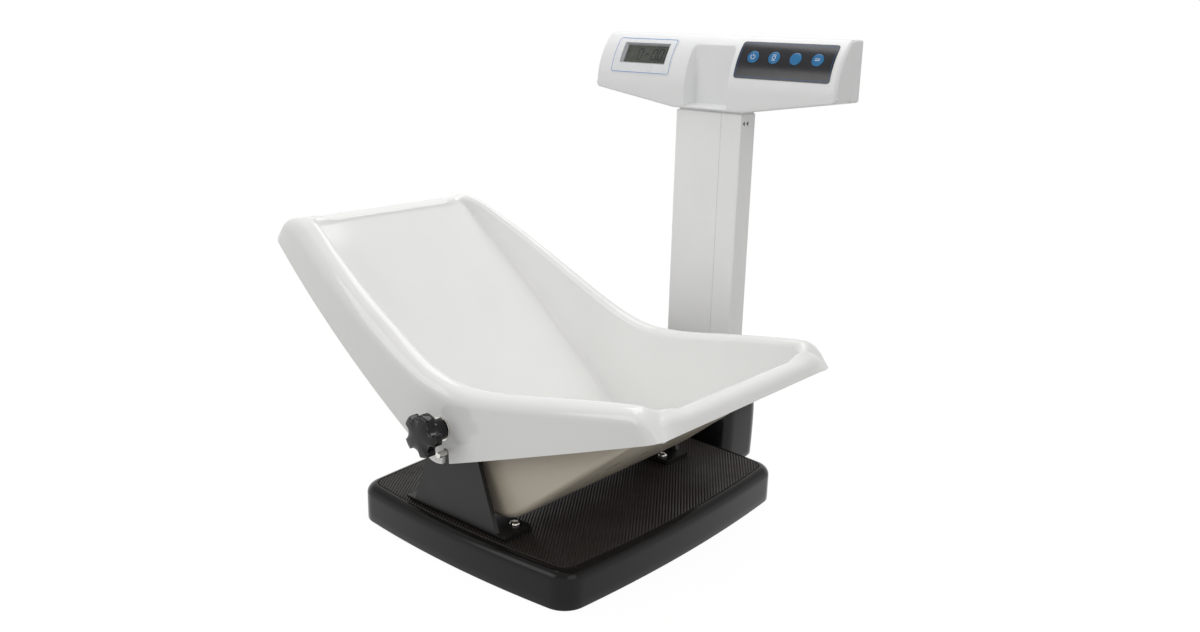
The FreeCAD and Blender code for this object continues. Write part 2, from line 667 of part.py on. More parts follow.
def cut(base, tools):
    made = doc.addObject("Part::Cut", "cut")
    made.Base = base
    made.Tool = tools[0] if len(tools) == 1 else group(tools)
    return made


def solid(shape):
    made = doc.addObject("Part::Feature", "solid")
    made.Shape = shape
    return made


NODES = {}


def node(name, made, y="0"):
    """Name a finished sub-part and move it from the platform's centre to the frame."""
    made.Label = name
    put(made, "shift_x", f"shift_y + {y}", "0")
    NODES[name] = made


def panel_node(name, made, height, x="0"):
    """A finished sub-part that is drawn on the head's sloping front."""
    made.Label = name
    made.Placement = Placement(Vector(), Rotation(Vector(1, 0, 0), 1))
    tilt_to_panel(made, "Placement", height, x=x, shifted=True)
    NODES[name] = made


# --- platform --------------------------------------------------------------------------------

BRACKET_SCREWS = [(f"pivot_x {aside} screw_spread", f"seat_y {way} (bracket_face - screw_inset)")
                  for aside in "+-" for way in "+-"]
FEET = [(f"{aside} (platform_half_x - foot_inset)", f"{way} (platform_half_y - foot_inset)")
        for aside in "+-" for way in "+-"]
TONGUE_SCREWS = [(f"{aside} tongue_screw_x", f"tongue_front + {inset}")
                 for aside in "+-" for inset in ("tongue_screw_in", "tongue_screw_in + tongue_screw_pitch")]
LOWER_BOLTS = [f"-cell_x {way} cell_bolt_pitch / 2" for way in "+-"]
UPPER_BOLTS = [f"cell_x {way} cell_bolt_pitch / 2" for way in "+-"]


def bored(body, lift, holes, radius):
    """Drill round holes right down through a body."""
    drawn = sketch(body, lift=lift)
    for x, y in holes:
        circle(drawn, x, y, radius)
    pocket(body, drawn)


def make_cover():
    body = new_body("platform_cover")
    outline = sketch(body, lift="floor_gap")
    bowed_outline(outline, "platform_half_x", "platform_half_y", "platform_corner")
    pad(body, outline, "platform_height")
    fillet(body, "platform_round", level_at("cover_top"))
    hollow = sketch(body, lift="floor_gap")
    bowed_outline(hollow, "platform_half_x - cover_wall", "platform_half_y - cover_wall",
                  "platform_corner - cover_wall")
    pocket(body, hollow, "platform_height - cover_roof", reverse=True)
    seat = sketch(body, lift="cover_top")
    bowed_outline(seat, "mat_half_x + loose_fit", "mat_half_y + loose_fit", "mat_corner + loose_fit")
    pocket(body, seat, "mat_sunk")
    bored(body, "cover_top", BRACKET_SCREWS, "screw_radius + bolt_play")
    heads = sketch(body, lift="cover_top - cover_roof")
    for x in UPPER_BOLTS:
        circle(heads, x, "0", "flat_head_radius + loose_fit")
    pocket(body, heads, "flat_head + loose_fit", reverse=True)
    notch = sketch(body, "XZ", "-(platform_half_y - platform_corner)")
    rectangle(notch, "-(tongue_half + plate_gap)", "floor_gap - plate_gap", "tongue_half + plate_gap",
              "(cell_low + cell_top) / 2 + cable_radius + plate_gap")
    pocket(body, notch)
    node("platform_cover", body)


def make_mat():
    body = new_body("platform_mat")
    outline = sketch(body, lift="cover_top - mat_sunk")
    bowed_outline(outline, "mat_half_x", "mat_half_y", "mat_corner")
    pad(body, outline, "mat_sunk + mat_proud")
    bored(body, "mat_top", BRACKET_SCREWS, "screw_radius + bolt_play")
    node("platform_mat", body)


def make_base():
    body = new_body("base_plate")
    outline = sketch(body, lift="floor_gap")
    inset = "cover_wall + plate_gap"
    bowed_outline(outline, f"platform_half_x - ({inset})", f"platform_half_y - ({inset})",
                  f"platform_corner - ({inset})")
    pad(body, outline, "base_thick")
    bored(body, "base_top", FEET, "foot_plug_radius + bolt_play")
    bored(body, "base_top", [(x, "0") for x in LOWER_BOLTS], "cell_bolt_radius + bolt_play")
    bored(body, "base_top", TONGUE_SCREWS, "screw_radius + bolt_play")
    node("base_plate", body)
    pads = [fuse([rod(x, y, "0", "foot_radius", "floor_gap"),
                  rod(x, y, "0", "foot_plug_radius", "base_top")]) for x, y in FEET]
    node("rubber_feet", group(pads))


def make_frame():
    body = new_body("top_frame")
    outline = sketch(body, lift="frame_low")
    rectangle(outline, "-frame_half_x", "-frame_half_y", "frame_half_x", "frame_half_y")
    pad(body, outline, "frame_thick")
    fillet(body, "frame_corner", upright)
    windows = sketch(body, lift="frame_low + frame_thick")
    side = "frame_half_x - frame_rail"
    rectangle(windows, f"-({side})", "-(frame_half_y - frame_rail)", side, "-frame_bar_half")
    rectangle(windows, f"-({side})", "frame_bar_half", side,
              "seat_y + bracket_face - toe_depth - frame_rail / 2")
    pocket(body, windows)
    bored(body, "frame_low + frame_thick", BRACKET_SCREWS, "screw_radius + bolt_play")
    bored(body, "frame_low + frame_thick", [(x, "0") for x in UPPER_BOLTS],
          "cell_bolt_radius + bolt_play")
    node("top_frame", body)


def make_load_cell():
    beam = block("-cell_length / 2", "-cell_width / 2", "cell_low", "cell_length", "cell_width",
                 "cell_height")
    middle = "(cell_low + cell_top) / 2"
    eyes = [rod(f"{way} cell_eye_pitch / 2", "-cell_width", middle, "cell_eye", "2 * cell_width", "back")
            for way in "+-"]
    slot = block("-cell_eye_pitch / 2", "-cell_width", f"{middle} - cell_slot / 2", "cell_eye_pitch",
                 "2 * cell_width", "cell_slot")
    bolts = [rod(x, "0", "cell_low - 1", "cell_bolt_radius + bolt_play", "cell_height + 2")
             for x in LOWER_BOLTS + UPPER_BOLTS]
    node("load_cell", cut(beam, [fuse(eyes + [slot]), group(bolts)]))

    spacers = []
    for place, bolts, low, thick in (("-cell_x", LOWER_BOLTS, "base_top", "spacer_thick"),
                                     ("cell_x", UPPER_BOLTS, "cell_top", "frame_low - cell_top")):
        plate = block(f"{place} - spacer_half", "-cell_width / 2", low, "2 * spacer_half",
                      "cell_width", thick)
        holes = [rod(x, "0", f"{low} - 1", "cell_bolt_radius + bolt_play", f"{thick} + 2")
                 for x in bolts]
        spacers.append(cut(plate, holes))
    node("load_cell_spacers", group(spacers))

    lower = [fuse([rod(x, "0", "floor_gap - flat_head", "flat_head_radius", "flat_head"),
                   rod(x, "0", "floor_gap - flat_head", "cell_bolt_radius",
                       "cell_low - floor_gap + flat_head + cell_bolt_reach")]) for x in LOWER_BOLTS]
    seat = "frame_low + frame_thick"
    upper = [fuse([rod(x, "0", seat, "flat_head_radius", "flat_head"),
                   rod(x, "0", "cell_top - cell_bolt_reach", "cell_bolt_radius",
                       f"{seat} - cell_top + cell_bolt_reach + flat_head")]) for x in UPPER_BOLTS]
    node("load_cell_bolts", group(lower + upper))


# --- brackets and knobs ----------------------------------------------------------------------

SIDES = (("near", -1), ("far", 1))


def outward(side, distance):
    """A place at a distance from the seat's centre plane, on one side of it."""
    return f"seat_y {'+' if side > 0 else '-'} ({distance})"


def rounded_tab(drawn, low):
    """An outline on a straight foot, with two sloping sides tangent to a round top."""
    half, rise = value("bracket_half"), value(f"pivot_height - ({low})")
    radius = value("bracket_top_radius")
    lean = math.atan2(half, rise) - math.asin(radius / math.hypot(half, rise))
    centre = Vector(value("pivot_x"), value("pivot_height"), 0)
    foot = [centre + Vector(way * half, -rise, 0) for way in (-1, 1)]
    touch = [centre + Vector(way * math.cos(lean), math.sin(lean), 0) * radius for way in (-1, 1)]
    base = drawn.addGeometry(Part.LineSegment(foot[0], foot[1]))
    right = drawn.addGeometry(Part.LineSegment(foot[1], touch[1]))
    top = drawn.addGeometry(Part.ArcOfCircle(Part.Circle(centre, Vector(0, 0, 1), radius),
                                             lean, math.pi - lean))
    left = drawn.addGeometry(Part.LineSegment(touch[0], foot[0]))
    drawn.addConstraint(Sketcher.Constraint("Coincident", base, 2, right, 1))
    drawn.addConstraint(Sketcher.Constraint("Coincident", left, 2, base, 1))
    hold_point(drawn, top, 3, "pivot_x", "pivot_height")
    hold_radius(drawn, top, "bracket_top_radius")
    hold_point(drawn, base, 1, "pivot_x - bracket_half", low)
    hold_point(drawn, base, 2, "pivot_x + bracket_half", low)
    drawn.addConstraint(Sketcher.Constraint("Tangent", right, 2, top, 1))
    drawn.addConstraint(Sketcher.Constraint("Tangent", top, 2, left, 1))


def make_bracket(name, side):
    body = new_body(name + "_bracket")
    face = outward(side, "bracket_face")
    tab = sketch(body, "XZ", f"-({face})")
    rounded_tab(tab, "mat_top")
    pad(body, tab, "bracket_thick", reverse=side < 0)
    toe = sketch(body, lift="mat_top")
    edges = sorted((face, outward(side, "bracket_face - toe_depth")), key=value)
    rectangle(toe, "pivot_x - toe_half", edges[0], "pivot_x + toe_half", edges[1])
    pad(body, toe, "bracket_thick")
    outer, inner = value(face), value(outward(side, "bracket_face - bracket_thick"))
    low, top = value("mat_top"), value("toe_top")
    fillet(body, "bracket_bend", lambda edge: all(
        same(end.y, outer) and same(end.z, low) for end in ends_of(edge)))
    fillet(body, "bracket_inner_bend", lambda edge: all(
        same(end.y, inner) and same(end.z, top) for end in ends_of(edge)))
    corner = value(outward(side, "bracket_face - toe_depth"))
    fillet(body, "toe_corner", lambda edge: upright(edge) and same(ends_of(edge)[0].y, corner))
    holes = sketch(body, "XZ", f"-({face})")
    circle(holes, "pivot_x", "pivot_height", "insert_radius + stud_play")
    circle(holes, "pivot_x + pin_aside", "pivot_height - pin_drop", "pin_radius + stud_play")
    pocket(body, holes, reverse=side > 0)
    bored(body, "toe_top", [place for place in BRACKET_SCREWS if (value(place[1]) < value("seat_y"))
                            == (side < 0)], "screw_radius + bolt_play")
    node(name + "_bracket", body)

    inward, out = ("back", "front") if side < 0 else ("front", "back")
    axis = ("pivot_x", "pivot_height")
    barrel = rod(axis[0], face, axis[1], "insert_radius", "bracket_thick + insert_back", inward)
    flange = rod(axis[0], outward(side, "bracket_face - bracket_thick"), axis[1], "insert_flange",
                 "insert_back", inward)
    bore = rod(axis[0], outward(side, "bracket_face + 1"), axis[1], "stud_radius + stud_play",
               "bracket_thick + insert_back + 2", inward)
    node(name + "_insert", cut(fuse([barrel, flange]), [bore]))

    pin_x, pin_z = "pivot_x + pin_aside", "pivot_height - pin_drop"
    back = outward(side, "bracket_face - bracket_thick - pin_head")
    shank = rod(pin_x, back, pin_z, "pin_radius",
                "skirt_face + pin_proud - bracket_face + bracket_thick + pin_head", out)
    head = rod(pin_x, back, pin_z, "pin_head_radius", "pin_head", out)
    node(name + "_locating_pin", fuse([shank, head]))

    base = rod(axis[0], outward(side, "skirt_face + face_play"), axis[1], "washer_radius",
               "washer_thick", out)
    eye = rod(axis[0], outward(side, "skirt_face"), axis[1], "stud_radius + bolt_play",
              "2 * washer_thick", out)
    node(name + "_washer", cut(base, [eye]))

    end = "bracket_face - bracket_thick - insert_back - stud_beyond"
    node(name + "_stud", rod_group(axis, outward(side, end), f"knob_base + stud_in_knob - ({end})", out))


def rod_group(axis, y, length, way):
    return group([rod(axis[0], y, axis[1], "stud_radius", length, way)])


def make_knob(name, side):
    """A star knob about its own axis, local Y, with its washer face at the origin."""
    body = new_body(name + "_knob")
    profile = sketch(body)
    polygon(profile, (("0", "0"), ("hub_radius", "0"), ("hub_neck_radius", "-hub_length"),
                      ("star_radius", "-hub_length"), ("star_radius", "-knob_reach"),
                      ("0", "-knob_reach")))
    turned = body.newObject("PartDesign::Revolution", name + "_turned")
    turned.Profile = profile
    turned.ReferenceAxis = (profile, ["V_Axis"])
    turned.Angle = 360
    hollow = sketch(body, "XZ")
    circle(hollow, f"scallop_out * cos({180 / LOBES})", f"scallop_out * sin({180 / LOBES})",
           "scallop_radius")
    scallop = pocket(body, hollow, reverse=True)
    pattern = body.newObject("PartDesign::PolarPattern", name + "_lobes")
    pattern.Originals = [scallop]
    pattern.Axis = (hollow, ["N_Axis"])
    pattern.Angle = 360
    pattern.Occurrences = LOBES
    body.Tip = pattern
    fillet(body, "lobe_round", lambda edge: len(ends_of(edge)) == 2 and same(
        edge.Length, value("star_thick")) and same(ends_of(edge)[0].x, ends_of(edge)[1].x))
    flat = (-value("knob_reach"), -value("hub_length"))
    fillet(body, "star_round", lambda edge: any(
        same(edge.BoundBox.YMin, y) and same(edge.BoundBox.YMax, y) for y in flat)
        and math.hypot(ends_of(edge)[0].x, ends_of(edge)[0].z) > value("hub_radius + 1"))
    bore = sketch(body, "XZ")
    circle(bore, "0", "0", "stud_radius + stud_play")
    pocket(body, bore, "stud_in_knob", reverse=True)
    body.Label = name + "_knob"
    if side > 0:
        body.Placement = Placement(Vector(), Rotation(Vector(0, 0, 1), 180))
    put(body, "shift_x + pivot_x", f"shift_y + {outward(side, 'knob_base')}", "pivot_height")
    NODES[body.Label] = body


def make_bracket_screws():
    screws, nuts = [], []
    for x, y in BRACKET_SCREWS:
        screws.append(fuse([
            rod(x, y, "toe_top", "screw_head_radius", "screw_head"),
            rod(x, y, "frame_low - nut_thick - stud_beyond", "screw_radius",
                "toe_top - frame_low + nut_thick + stud_beyond + screw_head")]))
        hexagon = doc.addObject("Part::Prism", "hexagon")
        tie(hexagon, "Circumradius", "nut_radius")
        tie(hexagon, "Height", "nut_thick")
        put(hexagon, x, y, "frame_low - nut_thick")
        thread = rod(x, y, "frame_low - nut_thick - 1", "screw_radius + stud_play", "nut_thick + 2")
        nuts.append(cut(hexagon, [thread]))
    node("bracket_screws", group(screws))
    node("bracket_nuts", group(nuts))


# --- seat ------------------------------------------------------------------------------------

def rounded_edges(points, radii, closed=False):
    """Straight runs through points, with a tangent arc at each point that has a radius."""
    count = len(points)
    inner = range(count) if closed else range(1, count - 1)
    leaving = list(points)
    arriving = list(points)
    arcs = {}
    for here in inner:
        if not radii[here]:
            continue
        back = (points[here - 1] - points[here]).normalize()
        ahead = (points[(here + 1) % count] - points[here]).normalize()
        half = back.getAngle(ahead) / 2
        reach = radii[here] / math.tan(half)
        arriving[here] = points[here] + back * reach
        leaving[here] = points[here] + ahead * reach
        centre = points[here] + (back + ahead).normalize() * (radii[here] / math.sin(half))
        middle = centre + (points[here] - centre).normalize() * radii[here]
        arcs[here] = Part.Arc(arriving[here], middle, leaving[here]).toShape()
    edges = []
    for here in range(count if closed else count - 1):
        if here in arcs:
            edges.append(arcs[here])
        following = (here + 1) % count
        edges.append(Part.LineSegment(leaving[here], arriving[following]).toShape())
    return edges


def side_slab(corners, radii, reach):
    """A solid from an outline in the XZ plane, as wide as the seat and more."""
    points = [Vector(x, -reach, z) for x, z in corners]
    face = Part.Face(Part.Wire(rounded_edges(points, radii, closed=True)))
    return face.extrude(Vector(0, 2 * reach, 0))


def bow(taper, run):
    return (run ** 2 + taper ** 2) / (2 * taper)


def plan_wire(inset, end_inset, height):
    """The seat's outline from above: two tangent arcs a side and straight ends."""
    wide_x, half = value("seat_wide_x"), value("seat_half_wide") - inset
    ends = (-value("seat_head_x") + end_inset, value("seat_foot_x") - end_inset)
    runs = (wide_x + value("seat_head_x"), value("seat_foot_x") - wide_x)
    tapers = (value("head_taper"), value("foot_taper"))

    def edge_point(end, share):
        radius = bow(tapers[end], runs[end])
        step = (ends[end] - wide_x) * share
        return wide_x + step, half - radius + math.sqrt(radius ** 2 - step ** 2)

    edges = []
    for side in (1, -1):
        points = [edge_point(0, 1), edge_point(0, 0.5), (wide_x, half), edge_point(1, 0.5),
                  edge_point(1, 1)]
        places = [Vector(x, side * y, height) for x, y in points[::side]]
        edges.append(Part.Arc(*places[:3]).toShape())
        edges.append(Part.Arc(*places[2:]).toShape())
        last = Vector(places[4])
        edges.append(Part.LineSegment(last, Vector(last.x, -last.y, height)).toShape())
    return Part.Wire(edges)


def rim_corners(drop, reach):
    """The rim's outline from the side, from the head end to the foot end, with its radii."""
    valley_x, valley_z = value("rim_valley_x"), value("rim_valley_height") - drop
    horn_back = -value("seat_head_x - horn_back")
    horn_foot = value("seat_foot_x - horn_foot")
    horn_back_z = valley_z + value("rim_back_slope") * (valley_x - horn_back)
    horn_foot_z = valley_z + value("rim_foot_slope") * (horn_foot - valley_x)
    head = (horn_back - reach, horn_back_z - value("horn_fall_head") * reach)
    foot = (horn_foot + reach, horn_foot_z - value("horn_fall_foot") * reach)
    corners = [head, (horn_back, horn_back_z), (valley_x, valley_z), (horn_foot, horn_foot_z), foot]
    horn, valley = value("horn_radius"), value("rim_valley_radius")
    return corners, [0, horn, valley, horn, 0]


def outer_block(inset, drop, low):
    """Everything inside the skirt and under the rim, inset all round."""
    reach = value("horn_back + 2 * seat_wall")
    plan = Part.Face(plan_wire(inset, inset, low)).extrude(Vector(0, 0, 2 * value("seat_head_x")))
    plan = plan.makeFillet(value("seat_corner") - inset, [e for e in plan.Edges if upright(e)])
    corners, radii = rim_corners(drop, reach)
    under = corners + [(corners[-1][0], low), (corners[0][0], low)]
    block_shape = plan.common(side_slab(under, radii + [0, 0], value("seat_half_wide + rim_width")))
    ends = (-value("seat_head_x") + inset, value("seat_foot_x") - inset)
    rim = []
    for edge in block_shape.Edges:
        across = same(edge.BoundBox.XMin, edge.BoundBox.XMax)
        at_end = any(same(edge.BoundBox.XMin, end) for end in ends)
        if edge.BoundBox.ZMin > low + 1 and not upright(edge) and (at_end or not across):
            rim.append(edge)
    return block_shape.makeFillet(value("rim_outer_round") - inset, rim)


def tub_block(wall):
    """The hollow that the child lies in, grown by the wall thickness."""
    floor, draft = value("tub_floor"), value("tub_draft")
    angles = [math.atan(value(name)) for name in ("tub_back_slope", "tub_front_slope")]
    shares = [math.tan(angle / 2) for angle in angles]
    back_x = value("tub_back_x")
    front_x = back_x + value("tub_bend_radius") * sum(shares) + value("tub_flat")
    top = value("rim_valley_height") + value("seat_head_x")
    low = floor - wall
    back_x -= wall * shares[0]
    front_x += wall * shares[1]
    rise = top - low
    corners = [(back_x - rise / math.tan(angles[0]), top), (back_x, low), (front_x, low),
               (front_x + rise / math.tan(angles[1]), top)]
    bend = value("tub_bend_radius") + wall
    reach = value("seat_half_wide + rim_width")
    trough = side_slab(corners, [0, bend, bend, 0], reach)
    level = value("rim_valley_height")
    wires = []
    for height in (low - wall, top):
        inset = value("rim_width") - wall - draft * (height - level)
        wires.append(plan_wire(inset, value("tub_end_inset") - wall, height))
    walls = Part.makeLoft(wires, True, True)
    shape = walls.common(trough)
    seams = [edge for edge in shape.Edges if edge.BoundBox.ZMax < top - 1
             and not same(edge.BoundBox.XMin, edge.BoundBox.XMax)]
    seams = [edge for edge in seams if not same(*[end.x for end in ends_of(edge)])]
    return shape.makeFillet(value("tub_corner_round") + wall, seams)


def make_seat():
    wall = value("seat_wall")
    low = value("tub_floor - 4 * seat_wall")
    outer = outer_block(0, 0, low)
    inner = outer_block(wall, wall, low)
    tub = tub_block(0)
    tub_outside = tub_block(wall)
    low_x, low_z = value("skirt_low_x"), value("skirt_low_height")
    far = value("seat_head_x + seat_foot_x")
    skirt_edge = [(low_x - far, low_z + far * value("skirt_back_slope")), (low_x, low_z),
                  (low_x + far, low_z + far * value("skirt_foot_slope")),
                  (low_x + far, low - far), (low_x - far, low - far)]
    below = side_slab(skirt_edge, [0, value("skirt_low_radius"), 0, 0, 0],
                      value("seat_half_wide + rim_width"))
    basin = outer.common(tub_outside).cut(tub)
    skirt_and_rim = outer.cut(below).cut(inner).cut(tub)
    shell = basin.fuse(skirt_and_rim)
    face, pivot = value("bracket_face"), (value("pivot_x"), value("pivot_height"))
    pin = (pivot[0] + value("pin_aside"), pivot[1] - value("pin_drop"))
    skirt = value("skirt_face")
    for name, side in SIDES:
        out = Vector(0, side, 0)
        boss = Part.makeCylinder(value("boss_radius"), skirt - wall / 2 - face,
                                 Vector(pivot[0], side * face, pivot[1]), out)
        hole = Part.makeCylinder(value("stud_radius + loose_fit"), skirt, Vector(pivot[0], 0, pivot[1])
                                 + out * (face - wall), out)
        start = Vector(pin[0], 0, pin[1]) + out * face
        eye = Part.makeCylinder(value("pin_slot_width") / 2, skirt, start, out)
        half, mouth = value("pin_slot_width") / 2, value("slot_mouth") / 2
        drop = value("pin_drop")
        outline = Part.makePolygon([start + Vector(x, 0, z) for x, z in (
            (-half, 0), (half, 0), (half, half - mouth), (mouth, -mouth), (mouth, -drop),
            (-mouth, -drop), (-mouth, -mouth), (-half, half - mouth), (-half, 0))])
        slot = Part.Face(outline).extrude(out * skirt)
        shell = shell.fuse(boss).cut(hole).cut(eye.fuse(slot))
    node("seat_shell", solid(shell), "seat_y")


# --- column and boot -------------------------------------------------------------------------

def make_tongue():
    body = new_body("column_bracket")
    plate = sketch(body, lift="base_top")
    polygon(plate, (
        ("-tongue_half", "tongue_front"), ("tongue_half", "tongue_front"),
        ("tongue_half", "wing_front"), ("wing_half", "wing_front"), ("wing_half", "wing_back"),
        ("upright_half", "wing_back"), ("upright_half", "upright_back"),
        ("-upright_half", "upright_back"), ("-upright_half", "wing_back"),
        ("-wing_half", "wing_back"), ("-wing_half", "wing_front"), ("-tongue_half", "wing_front")))
    pad(body, plate, "tongue_thick")
    post = sketch(body, "XZ", "-(upright_back)")
    rectangle(post, "-upright_half", "base_top", "upright_half", "upright_top")
    pad(body, post, "tongue_thick")
    bored(body, "tongue_top", TONGUE_SCREWS + BOOT_SCREWS, "screw_radius + bolt_play")
    holes = sketch(body, "XZ", "-(upright_back - 2 * tongue_thick)")
    for x, z in COLUMN_SCREWS:
        circle(holes, x, z, "screw_radius + stud_play")
    pocket(body, holes)
    node("column_bracket", body)
    node("base_screws", group([fuse([
        rod(x, y, "floor_gap - flat_head", "flat_head_radius", "flat_head"),
        rod(x, y, "floor_gap - flat_head", "screw_radius", "tongue_top - floor_gap + flat_head")])
        for x, y in TONGUE_SCREWS]))
    node("boot_screws", group([fuse([
        rod(x, y, "base_top - flat_head", "flat_head_radius", "flat_head"),
        rod(x, y, "base_top - flat_head", "screw_radius", "tongue_thick + flat_head + boot_screw_in")])
        for x, y in BOOT_SCREWS]))
    back = "column_front + column_depth"
    node("column_screws", group([fuse([
        rod(x, f"{back} + screw_head", z, "screw_head_radius", "screw_head", "front"),
        rod(x, f"{back} + screw_head", z, "screw_radius",
            "screw_head + column_wall + tongue_thick", "front")]) for x, z in COLUMN_SCREWS]))


BOOT_SCREWS = [(f"{way} boot_boss_x", "boot_boss_y") for way in "+-"]
COLUMN_SCREWS = [(f"{way} column_screw_x", height) for way in "+-"
                 for height in ("column_screw_z", "column_screw_z + column_screw_rise")]
CAP_SCREWS = [(f"{way} column_screw_x", "column_top - cap_screw_drop") for way in "+-"]


def make_column():
    body = new_body("column")
    outline = sketch(body, lift="column_foot")
    rectangle(outline, "-column_half", "column_front", "column_half", "column_front + column_depth")
    pad(body, outline, "column_top - column_foot")
    fillet(body, "column_corner", upright)
    hollow = sketch(body, lift="column_top")
    rectangle(hollow, "-column_half + column_wall", "column_front + column_wall",
              "column_half - column_wall", "column_front + column_depth - column_wall")
    pocket(body, hollow)
    groove = sketch(body, lift="column_top")
    rectangle(groove, "groove_x - groove_width / 2", "column_front - groove_deep",
              "groove_x + groove_width / 2", "column_front + groove_deep")
    pocket(body, groove)
    holes = sketch(body, "XZ", "-(column_front + column_depth / 2)")
    for x, z in COLUMN_SCREWS + CAP_SCREWS:
        circle(holes, x, z, "screw_radius + bolt_play")
    pocket(body, holes)
    node("column", body)


def make_boot():
    body = new_body("column_boot")
    outline = sketch(body, lift="boot_foot")
    rectangle(outline, "-boot_half", "boot_front", "boot_half", "boot_back")
    pad(body, outline, "boot_top - boot_foot")
    fillet(body, "boot_corner", upright)
    fillet(body, "boot_round", level_at("boot_top"))
    foot = value("boot_foot")
    hollow_out(body, "boot_wall", lambda face: same(face.BoundBox.ZMax, foot))
    passage = sketch(body, lift="boot_top")
    gap = "loose_fit"
    rectangle(passage, f"-column_half - {gap}", f"column_front - {gap}", f"column_half + {gap}",
              f"column_front + column_depth + {gap}")
    pocket(body, passage, "boot_top / 2")
    step = sketch(body, "YZ")
    rectangle(step, "boot_front - boot_wall", "boot_foot - boot_wall",
              "platform_half_y + boot_behind", "mat_top + boot_lift")
    pocket(body, step, "4 * boot_half", way="Symmetric")
    bosses = sketch(body, lift="tongue_top")
    for x, y in BOOT_SCREWS:
        circle(bosses, x, y, "boot_boss")
    pad(body, bosses, "boot_boss_high")
    bores = sketch(body, lift="tongue_top")
    for x, y in BOOT_SCREWS:
        circle(bores, x, y, "screw_radius + stud_play")
    pocket(body, bores, "boot_screw_in + loose_fit", reverse=True)
    node("column_boot", body)


# --- head ------------------------------------------------------------------------------------

HEAD_SCREWS = [(f"{way} head_screw_x", height) for way in "+-"
               for height in ("head_screw_low", "head_screw_high")]
CAP_PLACES = [(f"{way} cap_screw_x", "cap_screw_y") for way in "+-"]
KEYS = [f"key_first_x + {number} * key_pitch" for number in range(4)]
MAIN_POSTS = [(f"{aside} main_post_x", "main_post_up") for aside in "+-"]
BOARD_POSTS = [(f"{aside} board_post_x", f"{way} board_post_up") for aside in "+-" for way in "+-"]


def front_profile(drawn):
    """The head's end view, forward of the joint: an upright edge, a long curve and a level top."""
    radius, centre = value("head_curve"), Vector(value("curve_y"), value("head_curve_low"), 0)
    top, low = value("head_top"), value("head_mid_low - head_wall")
    rise = math.asin((top - centre.y) / radius)
    curve = Part.ArcOfCircle(Part.Circle(centre, Vector(0, 0, 1), radius), math.pi - rise, math.pi)
    corners = (
        Vector(centre.x - radius, low, 0), Vector(value("head_split_y"), low, 0),
        Vector(value("head_split_y"), top, 0),
        Vector(centre.x - radius * math.cos(rise), top, 0), Vector(centre.x - radius, centre.y, 0))
    for start, end in zip(corners[:3], corners[1:4]):
        drawn.addGeometry(Part.LineSegment(start, end))
    drawn.addGeometry(curve)
    drawn.addGeometry(Part.LineSegment(corners[4], corners[0]))
    for joint in ((0, 2, 1, 1), (1, 2, 2, 1), (2, 2, 3, 1), (4, 2, 0, 1)):
        drawn.addConstraint(Sketcher.Constraint("Coincident", *joint))
    drawn.addConstraint(Sketcher.Constraint("Tangent", 3, 2, 4, 1))
    hold_point(drawn, 0, 1, "head_front_y", "head_mid_low - head_wall")
    hold_point(drawn, 0, 2, "head_split_y", "head_mid_low - head_wall")
    hold_point(drawn, 2, 1, "head_split_y", "head_top")
    hold_point(drawn, 3, 3, "curve_y", "head_curve_low")
    hold_radius(drawn, 3, "head_curve")
    drawn.addConstraint(Sketcher.Constraint("Horizontal", 2))


def trim_underside(body):
    """Slope the underside up from the column to both ends."""
    drawn = sketch(body, "XZ", "-(head_back_y + 1)")
    far, low = "head_half + 1", "head_mid_low - 2 * head_wall"
    rise = "head_end_low + under_slope"
    polygon(drawn, ((f"-({far})", low), (far, low), (far, rise), ("head_mid_half", "head_mid_low"),
                    ("-head_mid_half", "head_mid_low"), (f"-({far})", rise)))
    pocket(body, drawn, reverse=True)


def panel_posts(body, height, x, depth, posts, radius):
    """Round posts from a board up into the shell's wall."""
    for across, up in posts:
        drawn = tilted_sketch(body, height, depth, x)
        circle(drawn, across, up, radius)
        pad(body, drawn, f"({depth}) - head_wall / 2 - ({up})^2 / (2 * head_curve)")


